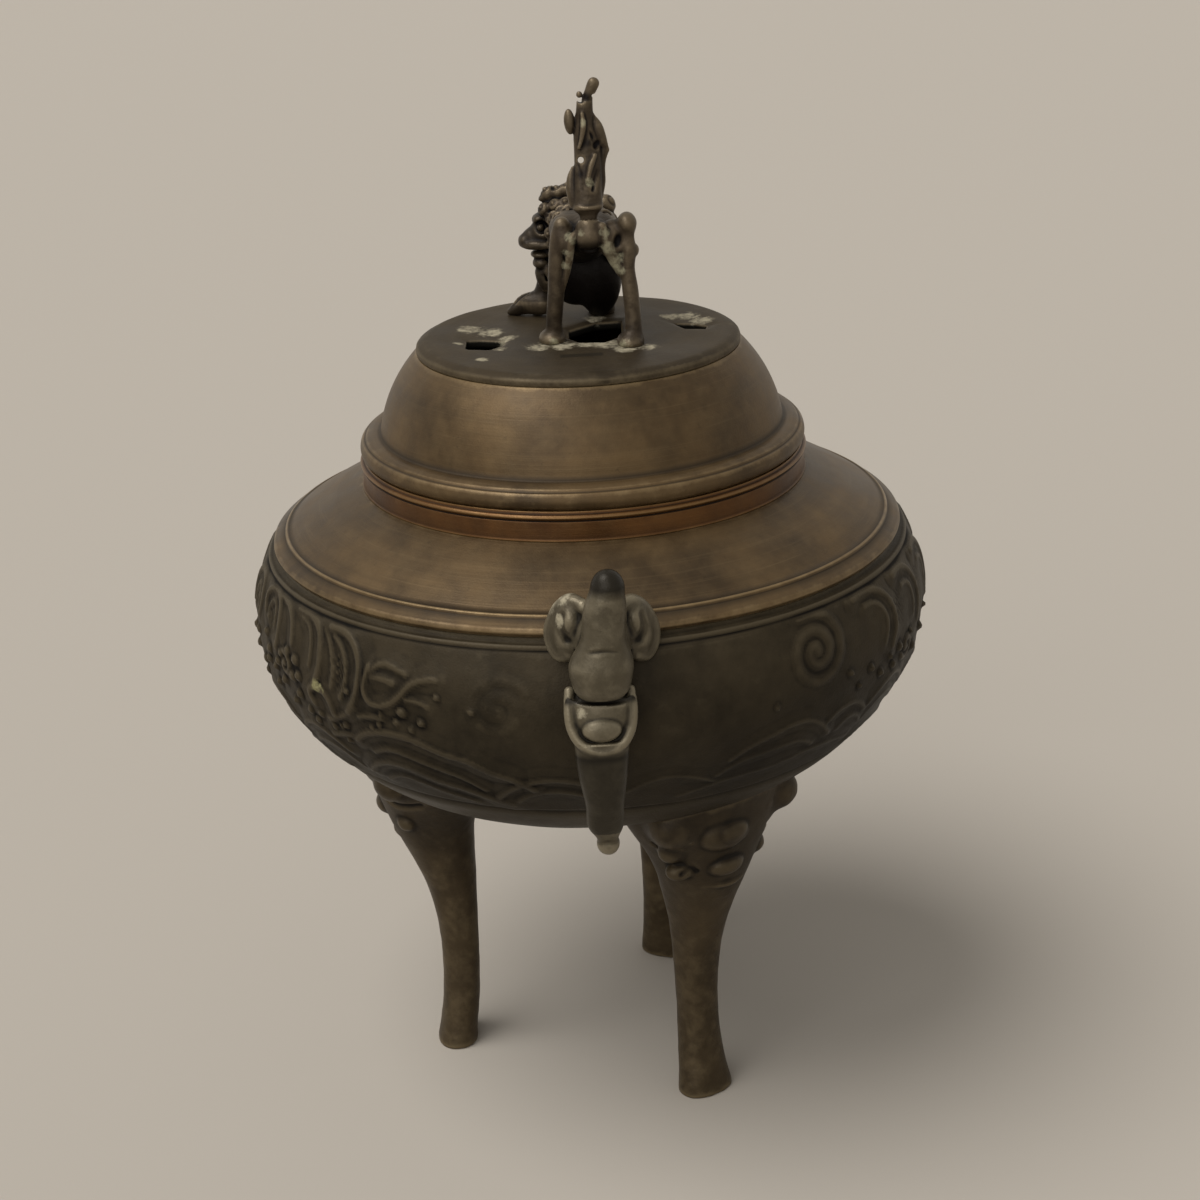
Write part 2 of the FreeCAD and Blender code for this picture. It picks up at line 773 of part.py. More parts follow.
def torso():
    wires = []
    for along, across, up, wide, tall in torso_shares:
        place = lion_point(along, across, up)
        wires.append(oval(place, Vector(0, wide * lion_width, 0), Vector(0, 0, tall * lion_height)))
    return lofted(wires)


def lion_leg(name):
    wires = []
    for along, across, up, radius in lion_leg_shares[name]:
        wires.append(flat_oval(lion_point(along, across, up), radius * lion_width, radius * lion_width))
    return lofted(wires)


def paw(name):
    along, across, deep, wide, tall = paw_shares[name]
    centre = lion_point(along, across, 0)
    body = ellipsoid(centre, deep * lion_length, wide * lion_width, tall * lion_height)
    corner = centre - Vector(lion_length / 2, lion_width / 2, 0)
    block = Part.makeBox(lion_length, lion_width, lion_height, corner)
    return body.common(block)


def lion_form(name):
    along, across, up, deep, wide, tall = lion_form_shares[name]
    centre = lion_point(along, across, up)
    return ellipsoid(centre, deep * lion_length, wide * lion_width, tall * lion_height)


def mane():
    along, across, up, deep, wide, tall = lion_form_shares["head"]
    curls = []
    for place, ring, size, count in mane_ring_shares:
        for i in range(count):
            angle = 2 * math.pi * (i + place) / count
            outward = Vector(math.cos(angle), 0, math.sin(angle))
            centre = lion_point(along, across + place, up) + outward * ring * lion_width
            curls.append(Part.makeSphere(size * lion_width, centre, outward))
    return curls


def tail_point(along, across, height):
    return Vector(tail_x + along * tail_width, tail_y + across * tail_width, tail_seat + height)


def tail_pocket():
    along, across, radius = tail_root_shares
    centre = tail_point(along, across, 0)
    return rod(radius * tail_width + tail_gap, lion_height, centre, Vector(0, 0, 1))


def lion_body():
    forms = [torso()] + [lion_form(name) for name in lion_form_shares] + mane()
    for name in lion_leg_shares:
        forms += [lion_leg(name), paw(name)]
    body = fused(forms).cut(tail_pocket())
    for place in pin_places():
        length = plate_thickness + pin_depth + rivet_gap
        body = body.cut(rod(pin_radius + rivet_gap, length, place, Vector(0, 0, 1)))
    return largest_solid(body)


def tail_leaf(along, across, up, deep, wide, tall, lean):
    centre = tail_point(along, across, up * tail_height)
    body = ellipsoid(Vector(0, 0, 0), deep * tail_width, wide * tail_width, tall * tail_height)
    body.rotate(Vector(0, 0, 0), Vector(1, 0, 0), lean)
    body.translate(centre)
    return body


def lion_tail():
    wires = []
    for along, across, up, deep, wide in tail_shares:
        place = tail_point(along, across, up * tail_height)
        wires.append(flat_oval(place, deep * tail_thickness, wide * tail_width))
    tip_radius = tail_tip_share * tail_width
    along, across = tail_shares[-1][:2]
    tip = tail_point(along, across, tail_height - tip_radius)
    return fused(rounded_end(wires, tip, tip_radius) + [tail_leaf(*leaf) for leaf in tail_leaf_shares])


def pieces():
    result = {
        "bowl": bowl(),
        "shoulder_ring": shoulder_ring(),
        "collar": collar(),
        "leg_rivets": leg_rivets(),
        "handle_rivets": handle_rivets(),
        "lid_dome": lid_dome(),
        "lid_top_plate": lid_top_plate(),
        "lion_body": lion_body(),
        "lion_tail": lion_tail(),
        "finial_pins": finial_pins(),
    }
    for name, angle in zip(("leg_front", "leg_back_right", "leg_back_left"), leg_angles):
        result[name] = leg(angle)
    for name, turn in (("handle_right", 0), ("handle_left", 180)):
        result[name] = handle(turn)
    return result


os.makedirs("parts", exist_ok=True)
for name, shape in pieces().items():
    shape.exportStep("parts/" + name + ".step")
    box = shape.BoundBox
    print(name, "solids", len(shape.Solids), "valid", shape.isValid(), "volume", round(shape.Volume, 1),
          "box", round(box.XMin, 1), round(box.YMin, 1), round(box.ZMin, 1),
          round(box.XMax, 1), round(box.YMax, 1), round(box.ZMax, 1))
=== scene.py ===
import bmesh
import bpy
import math
import numpy as np
from mathutils import Euler, Matrix, Vector


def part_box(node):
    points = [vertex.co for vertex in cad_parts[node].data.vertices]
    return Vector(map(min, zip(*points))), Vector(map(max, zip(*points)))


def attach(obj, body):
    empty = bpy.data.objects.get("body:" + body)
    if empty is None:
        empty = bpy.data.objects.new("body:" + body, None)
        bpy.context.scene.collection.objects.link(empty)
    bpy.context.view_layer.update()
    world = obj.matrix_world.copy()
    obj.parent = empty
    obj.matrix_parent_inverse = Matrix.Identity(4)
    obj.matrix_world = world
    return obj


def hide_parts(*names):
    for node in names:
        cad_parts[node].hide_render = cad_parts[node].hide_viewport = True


# A cast and turned bronze incense burner. Shapes are written in millimetres and built in metres.
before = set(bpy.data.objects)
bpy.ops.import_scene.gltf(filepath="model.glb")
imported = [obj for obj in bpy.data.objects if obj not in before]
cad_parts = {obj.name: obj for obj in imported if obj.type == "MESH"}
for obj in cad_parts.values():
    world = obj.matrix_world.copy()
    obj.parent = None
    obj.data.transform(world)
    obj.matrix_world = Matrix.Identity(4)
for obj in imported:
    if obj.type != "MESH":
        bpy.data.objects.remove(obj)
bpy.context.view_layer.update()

MM = 0.001
WELD_DISTANCE = 0.001 * MM

# Camera of the photograph
CAMERA_PLACE = (0.3883, -0.0091, 0.2373)
CAMERA_TURN = math.radians(88.4)
CAMERA_PITCH = math.radians(21.10)
CAMERA_ROLL = math.radians(-2.60)
CAMERA_LENS = 69.25
CAMERA_SENSOR = 36.0


def top_of(node):
    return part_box(node)[1].z / MM


def foot_of(node):
    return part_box(node)[0].z / MM


# Heights and radii that follow from the frame
BOWL_FOOT = foot_of("bowl")
BOWL_TOP = top_of("bowl")
SHOULDER_TOP = top_of("shoulder_ring")
COLLAR_TOP = top_of("collar")
DOME_TOP = foot_of("lid_top_plate")
PLATE_TOP = top_of("lid_top_plate")


# Meshes
def add_mesh(name, points, faces):
    mesh = bpy.data.meshes.new(name)
    mesh.from_pydata((np.asarray(points) * MM).tolist(), [], [tuple(face) for face in faces])
    mesh.update()
    obj = bpy.data.objects.new(name, mesh)
    bpy.context.scene.collection.objects.link(obj)
    return obj


def read_rows(items, key, width, kind=float):
    """One property of all the vertices or edges, a row for each."""
    flat = np.empty(len(items) * width, kind)
    items.foreach_get(key, flat)
    return flat.reshape(-1, width)


def points_of(obj):
    return read_rows(obj.data.vertices, "co", 3) / MM


def normals_of(obj):
    return read_rows(obj.data.vertices, "normal", 3)


def edges_of(obj):
    return read_rows(obj.data.edges, "vertices", 2, np.int32)


def set_points(obj, points):
    obj.data.vertices.foreach_set("co", (points * MM).ravel())
    obj.data.update()


def set_mark(obj, name, values):
    attribute = obj.data.attributes.new(name, "FLOAT", "POINT")
    attribute.data.foreach_set("value", np.asarray(values, np.float32))


def tidy_normals(obj):
    mesh = bmesh.new()
    mesh.from_mesh(obj.data)
    bmesh.ops.remove_doubles(mesh, verts=mesh.verts, dist=WELD_DISTANCE)
    bmesh.ops.recalc_face_normals(mesh, faces=mesh.faces)
    mesh.to_mesh(obj.data)
    mesh.free()
    obj.data.polygons.foreach_set("use_smooth", np.ones(len(obj.data.polygons), bool))
    obj.data.update()


def spread(points, passes, edges):
    """The points after each has been moved to the mean of its neighbours, this many times."""
    first, second = edges[:, 0], edges[:, 1]
    size = len(points)
    count = np.bincount(edges.ravel(), minlength=size)[:, None]
    result = points.copy()
    for _ in range(passes):
        total = [
            np.bincount(first, result[second, k], size) + np.bincount(second, result[first, k], size)
            for k in range(3)
        ]
        result = np.stack(total, 1) / np.maximum(count, 1)
    return result


def mark_wear(obj, passes, depth):
    """Marks raised edges up to 1 and hollows down to -1, reached at this depth in millimetres."""
    points = points_of(obj)
    around = spread(points, passes, edges_of(obj))
    height = ((points - around) * normals_of(obj)).sum(1)
    set_mark(obj, "wear", np.clip(height / depth, -1, 1))


def finish_piece(obj, body, slot, material, *nodes):
    obj.data.materials.clear()
    obj.data.materials.append(material)
    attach(obj, body)
    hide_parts(*nodes)


# Outlines and curves
def natural_curve(points, count):
    """A smooth curve through the points, sampled this many times."""
    points = np.asarray(points, float)
    chord = np.concatenate([[0], np.cumsum(np.linalg.norm(np.diff(points, axis=0), axis=1))])
    size = len(points)
    gaps = np.diff(chord)
    matrix = np.eye(size)
    right = np.zeros((size, points.shape[1]))
    for i in range(1, size - 1):
        matrix[i, i - 1] = gaps[i - 1]
        matrix[i, i] = 2 * (gaps[i - 1] + gaps[i])
        matrix[i, i + 1] = gaps[i]
        right[i] = 6 * ((points[i + 1] - points[i]) / gaps[i] - (points[i] - points[i - 1]) / gaps[i - 1])
    second = np.linalg.solve(matrix, right)
    places = np.linspace(0, chord[-1], count)
    result = []
    for place in places:
        i = min(max(np.searchsorted(chord, place) - 1, 0), size - 2)
        gap = gaps[i]
        a = (chord[i + 1] - place) / gap
        b = (place - chord[i]) / gap
        bend = ((a ** 3 - a) * second[i] + (b ** 3 - b) * second[i + 1]) * gap * gap / 6
        result.append(a * points[i] + b * points[i + 1] + bend)
    return np.array(result)


def rounded(corners, steps=4):
    """An outline through corners given as (radius, height, rounding)."""
    corners = [np.array(c, float) for c in corners]
    result = []
    for before, corner, after in zip(corners[-1:] + corners[:-1], corners, corners[1:] + corners[:1]):
        place, size = corner[:2], corner[2]
        back, ahead = before[:2] - place, after[:2] - place
        back_length, ahead_length = np.linalg.norm(back), np.linalg.norm(ahead)
        if size == 0 or back_length == 0 or ahead_length == 0:
            result.append(place)
            continue
        cut = min(size, 0.45 * back_length, 0.45 * ahead_length)
        start = place + back / back_length * cut
        end = place + ahead / ahead_length * cut
        for i in range(steps + 1):
            t = i / steps
            result.append((1 - t) ** 2 * start + 2 * t * (1 - t) * place + t ** 2 * end)
    return np.array(result)


def bulged(start, end, bulge, count):
    """Points of a shallow arc from start to end, which stands out by bulge to the right of its way."""
    start, end = np.array(start, float), np.array(end, float)
    chord = end - start
    side = np.array([chord[1], -chord[0]]) / np.linalg.norm(chord)
    result = []
    for i in range(count + 1):
        t = i / count
        place = start + t * chord + 4 * t * (1 - t) * bulge * side
        result.append((place[0], place[1], 0))
    return result


def outline_wear(outline, reach, depth):
    """How far each point of a closed outline stands out from its surroundings, from -1 to 1."""
    step = 0.1
    closed = np.vstack([outline, outline[:1]])
    along = np.concatenate([[0], np.cumsum(np.linalg.norm(np.diff(closed, axis=0), axis=1))])
    count = max(int(along[-1] / step), 8)
    places = np.linspace(0, along[-1], count, endpoint=False)
    fine = np.stack([np.interp(places, along, closed[:, k]) for k in (0, 1)], 1)
    half = max(int(reach / step), 1)
    mean = sum(np.roll(fine, k, axis=0) for k in range(-half, half + 1)) / (2 * half + 1)
    tangent = np.roll(fine, -half, axis=0) - np.roll(fine, half, axis=0)
    normal = np.stack([tangent[:, 1], -tangent[:, 0]], 1)
    normal /= np.maximum(np.linalg.norm(normal, axis=1), 1e-6)[:, None]
    area = 0.5 * np.sum(fine[:, 0] * np.roll(fine[:, 1], -1) - np.roll(fine[:, 0], -1) * fine[:, 1])
    height = ((fine - mean) * normal).sum(1) * (1 if area > 0 else -1)
    return np.clip(np.interp(along[:-1], places, height) / depth, -1, 1)


def wobble(points, size, seed):
    """A smooth, slow, repeatable unevenness between about -1 and 1."""
    random = np.random.default_rng(seed)
    total = np.zeros(len(points))
    waves = 9
    for _ in range(waves):
        direction = random.normal(size=3)
        direction /= np.linalg.norm(direction)
        length = size * random.uniform(0.7, 1.6)
        total += np.sin(points @ direction * (2 * math.pi / length) + random.uniform(0, 2 * math.pi))
    return total / math.sqrt(waves)


def turned(name, outline, columns, dent=0.04, dent_size=16.0, seed=1):
    """A turned piece from a closed outline of radii and heights, very slightly out of true."""
    outline = np.asarray(outline)
    rows = len(outline)
    angles = np.arange(columns) * 2 * math.pi / columns
    radius = outline[:, 0][None, :]
    points = np.stack([
        np.cos(angles)[:, None] * radius,
        np.sin(angles)[:, None] * radius,
        np.repeat(outline[:, 1][None, :], columns, 0),
    ], 2).reshape(-1, 3)
    column, row = np.meshgrid(np.arange(columns), np.arange(rows), indexing="ij")
    here = column * rows + row
    beside = (column + 1) % columns * rows + row
    above = column * rows + (row + 1) % rows
    across = (column + 1) % columns * rows + (row + 1) % rows
    faces = np.stack([here, beside, across, above], 2).reshape(-1, 4)
    obj = add_mesh(name, points, faces)
    tidy_normals(obj)
    points = points_of(obj)
    set_points(obj, points - normals_of(obj) * (0.5 + 0.5 * wobble(points, dent_size, seed))[:, None] * dent)
    return obj


def rise(value, start, span, top=1):
    """From 0 at the start up to the top, over this span; a negative span falls the other way."""
    return np.clip((value - start) / span, 0, top)


# Materials
class Nodes:
    """Builds the node tree of a material or a world."""

    def __init__(self, owner):
        owner.use_nodes = True
        self.tree = owner.node_tree

    def add(self, kind, **settings):
        node = self.tree.nodes.new(kind)
        for key, value in settings.items():
            setattr(node, key, value)
        return node

    def link(self, source, target):
        self.tree.links.new(source, target)

    def feed(self, socket, value):
        """Sets a socket to a number or a colour, or links another node's output to it."""
        if isinstance(value, (int, float)):
            socket.default_value = value
        elif isinstance(value, tuple):
            socket.default_value = (*value, 1.0)
        else:
            self.link(value, socket)

    def math(self, operation, first, second, clamp=False):
        node = self.add("ShaderNodeMath", operation=operation, use_clamp=clamp)
        self.feed(node.inputs[0], first)
        self.feed(node.inputs[1], second)
        return node.outputs[0]

    def times(self, first, second):
        return self.math("MULTIPLY", first, second)

    def plus(self, first, second):
        return self.math("ADD", first, second)

    def mix(self, factor, first, second):
        node = self.add("ShaderNodeMix", data_type="RGBA")
        for index, value in ((0, factor), (6, first), (7, second)):
            self.feed(node.inputs[index], value)
        return node.outputs[2]

    def ramp(self, value, low, high, start=0.0, end=1.0):
        """The value taken from between low and high to between start and end, and held there."""
        node = self.add("ShaderNodeMapRange")
        node.clamp = True
        for socket, number in zip(node.inputs, (value, low, high, start, end)):
            self.feed(socket, number)
        return node.outputs[0]

    def noise(self, vector, size, detail=3.0, roughness=0.55):
        """Noise with spots of about this size in millimetres."""
        node = self.add("ShaderNodeTexNoise")
        node.inputs["Scale"].default_value = 1 / (size * MM)
        node.inputs["Detail"].default_value = detail
        node.inputs["Roughness"].default_value = roughness
        self.link(vector, node.inputs["Vector"])
        return node.outputs[0]

    def mark(self, name):
        return self.add("ShaderNodeAttribute", attribute_name=name).outputs["Fac"]

    def bump(self, height, depth, normal=None):
        """A bump as deep as this in millimetres, on top of another bump's normal."""
        node = self.add("ShaderNodeBump")
        node.inputs["Strength"].default_value = 1.0
        node.inputs["Distance"].default_value = depth * MM
        self.link(height, node.inputs["Height"])
        if normal:
            self.link(normal, node.inputs["Normal"])
        return node.outputs[0]


def ring_noises(nodes, place):
    """Coarse streaks and fine lines that run round the axis, as a lathe leaves them."""
    split = nodes.add("ShaderNodeSeparateXYZ")
    nodes.link(place, split.inputs[0])
    x, y, z = split.outputs
    flat = nodes.add("ShaderNodeCombineXYZ")
    nodes.link(x, flat.inputs[0])
    nodes.link(y, flat.inputs[1])
    radius = nodes.add("ShaderNodeVectorMath", operation="LENGTH")
    nodes.link(flat.outputs[0], radius.inputs[0])
    rings = nodes.add("ShaderNodeCombineXYZ")
    nodes.link(radius.outputs["Value"], rings.inputs[0])
    nodes.link(z, rings.inputs[1])
    nodes.link(nodes.times(x, RING_DRIFT), rings.inputs[2])
    return (nodes.noise(rings.outputs[0], STREAK_SIZE, 3.0, 0.6),
            nodes.noise(rings.outputs[0], LINE_SIZE, 3.0, 0.7))


# Sizes of the spots in the metal, in millimetres, and how far a turned ring drifts off its circle
MOTTLE_SIZE = 14.0
CLOUD_SIZE = 4.0
SPECK_SIZE = 0.9
GRAIN_SIZE = 0.35
STREAK_SIZE = 2.2
LINE_SIZE = 0.55
CRUST_SIZE = 1.9
CRUST_GAP_SIZE = 1.3
RING_DRIFT = 0.035


def bronze(name, patina, metallic=0.55, gloss=0.42, grain=0.06, lathe=0.0, residue=None, specular=0.5):
    """Patinated bronze: mottled between dark and middle, worn bright on edges, darker in hollows.

    Gloss is the roughness of clean metal, grain the depth of its pits and lathe that of its turned lines,
    both in millimetres. Residue is the colour of a pale crust that lies where the mark of that name is.
    """
    dark, middle, worn, deep = patina
    material = bpy.data.materials.new(name)
    nodes = Nodes(material)
    shader = nodes.tree.nodes["Principled BSDF"]
    place = nodes.add("ShaderNodeTexCoord").outputs["Object"]
    mottle = nodes.noise(place, MOTTLE_SIZE, 4.0, 0.6)
    cloud = nodes.noise(place, CLOUD_SIZE, 5.0, 0.65)
    speck = nodes.noise(place, SPECK_SIZE, 3.0, 0.6)
    wear = nodes.mark("wear")

    # Clean metal, then bright edges, darker hollows, specks, and dark patina with painted shade
    colour = nodes.mix(nodes.ramp(mottle, 0.36, 0.66), dark, middle)
    colour = nodes.mix(nodes.times(nodes.ramp(cloud, 0.40, 0.72), 0.18 if lathe else 0.30), colour, worn)
    if lathe:
        streaks, lines = ring_noises(nodes, place)
        colour = nodes.mix(nodes.ramp(streaks, 0.35, 0.8, 0.0, 0.45), colour, dark)
        colour = nodes.mix(nodes.ramp(lines, 0.55, 0.85, 0.0, 0.30), colour, worn)
    patchy = nodes.times(nodes.math("SUBTRACT", cloud, 0.5), 0.9)
    edge = nodes.ramp(nodes.plus(wear, patchy), 0.18, 0.75)
    colour = nodes.mix(edge, colour, worn)
    hollow = nodes.ramp(nodes.times(wear, -1.0), 0.05, 0.7)
    colour = nodes.mix(hollow, colour, deep)
    colour = nodes.mix(nodes.ramp(speck, 0.62, 0.80, 0.0, 0.30), colour, deep)
    # Painted shade: the mark read here darkens towards deep where parts lie in shade, and in a few places
    # marks real dark patina
    colour = nodes.mix(nodes.math("MULTIPLY", nodes.mark("dark_patina_and_shade"), 0.95, clamp=True), colour, deep)

    rough = nodes.ramp(mottle, 0.3, 0.7, gloss - 0.05, gloss + 0.09)
    rough = nodes.plus(rough, nodes.times(hollow, 0.18))
    rough = nodes.math("SUBTRACT", rough, nodes.times(edge, 0.08))
    if residue:
        ragged = nodes.plus(nodes.times(nodes.noise(place, CRUST_SIZE, 4.0, 0.7), 2.6),
            nodes.times(speck, 0.8))
        crust = nodes.ramp(nodes.plus(nodes.mark("residue"), ragged), 2.12, 2.75)
        crust = nodes.times(crust, nodes.ramp(nodes.mark("residue"), 0.02, 0.45))
        gaps = nodes.ramp(nodes.noise(place, CRUST_GAP_SIZE, 3.0, 0.7), 0.32, 0.56, 0.40, 1.0)
        crust = nodes.times(crust, gaps)
        colour = nodes.mix(crust, colour, residue)
        rough = nodes.plus(rough, nodes.times(crust, 0.35))
    nodes.link(colour, shader.inputs["Base Color"])
    nodes.link(rough, shader.inputs["Roughness"])
    shader.inputs["Metallic"].default_value = metallic
    shader.inputs["Specular IOR Level"].default_value = specular

    normal = nodes.bump(nodes.plus(nodes.times(speck, 0.7), nodes.noise(place, GRAIN_SIZE, 2.0)), grain)
    if lathe:
        normal = nodes.bump(lines, lathe, normal)
    nodes.link(normal, shader.inputs["Normal"])
    return material


# Patinas: dark, middle, worn bright on edges, deep in hollows and in painted shade
BROWN = ((0.046, 0.029, 0.013), (0.112, 0.071, 0.031), (0.22, 0.155, 0.078), (0.010, 0.007, 0.004))
REDDISH = ((0.055, 0.024, 0.008), (0.125, 0.055, 0.015), (0.17, 0.095, 0.035), (0.012, 0.007, 0.004))
SMOKED = ((0.028, 0.020, 0.011), (0.052, 0.038, 0.021), (0.11, 0.085, 0.050), (0.002, 0.002, 0.001))
# The relief's patina is darker than the rest, partly its own dark tone and partly painted shade for the
# belly, which faces the floor
OLIVE_BLACK = ((0.020, 0.015, 0.008), (0.042, 0.032, 0.018), (0.066, 0.052, 0.031), (0.003, 0.002, 0.001))
DARK_BROWN = ((0.034, 0.023, 0.011), (0.060, 0.042, 0.021), (0.125, 0.094, 0.052), (0.006, 0.004, 0.002))
OLIVE_GREY = ((0.066, 0.054, 0.034), (0.102, 0.086, 0.056), (0.20, 0.172, 0.118), (0.008, 0.006, 0.003))
UMBER = ((0.028, 0.020, 0.013), (0.056, 0.041, 0.026), (0.135, 0.104, 0.066), (0.002, 0.001, 0.001))

# Colours of the crust
CREAM = (0.42, 0.38, 0.28)
VERDIGRIS = (0.33, 0.31, 0.16)
BUFF = (0.34, 0.32, 0.22)

turned_bronze = bronze("turned_bronze", BROWN, 0.5, 0.42, 0.02, lathe=0.03, specular=0.35)
collar_bronze = bronze("collar_bronze", REDDISH, 0.6, 0.38, 0.02, lathe=0.03, specular=0.35)
plate_bronze = bronze("plate_bronze", SMOKED, 0.35, 0.55, 0.03, lathe=0.015, residue=CREAM, specular=0.2)
relief_bronze = bronze("relief_bronze", OLIVE_BLACK, 0.2, 0.52, 0.06, residue=VERDIGRIS, specular=0.15)
leg_bronze = bronze("leg_bronze", DARK_BROWN, 0.35, 0.46, 0.05, specular=0.25)
handle_bronze = bronze("handle_bronze", OLIVE_GREY, 0.4, 0.42, 0.04, residue=CREAM, specular=0.3)
lion_bronze = bronze("lion_bronze", UMBER, 0.4, 0.40, 0.05, residue=BUFF, specular=0.22)
rivet_bronze = bronze("rivet_bronze", BROWN, grain=0.03)


# Bowl
BOWL_RADIUS = 59.4
BELLY_SHARES = (
    (0.446, 0.000),
    (0.589, 0.038),
    (0.724, 0.113),
    (0.837, 0.237),
    (0.926, 0.393),
    (0.980, 0.545),
    (1.000, 0.712),
    (0.986, 0.851),
    (0.9476, 0.982),
)
BOWL_WALL = 1.6
BOWL_COLUMNS = 870
RELIEF_TOP = 0.58
RELIEF_END = 33.2
ROW_STEP = 0.46
LIP_ROWS = (0.0, 0.4, 0.8)
LIP_LINE = 0.9
FOOT_LINE = RELIEF_END + 1.2
PLAIN_ROWS = 15
AXIS_RADIUS = 0.02
GROOVE_RADIUS = 54.7
SEAT_RADIUS = 50.5

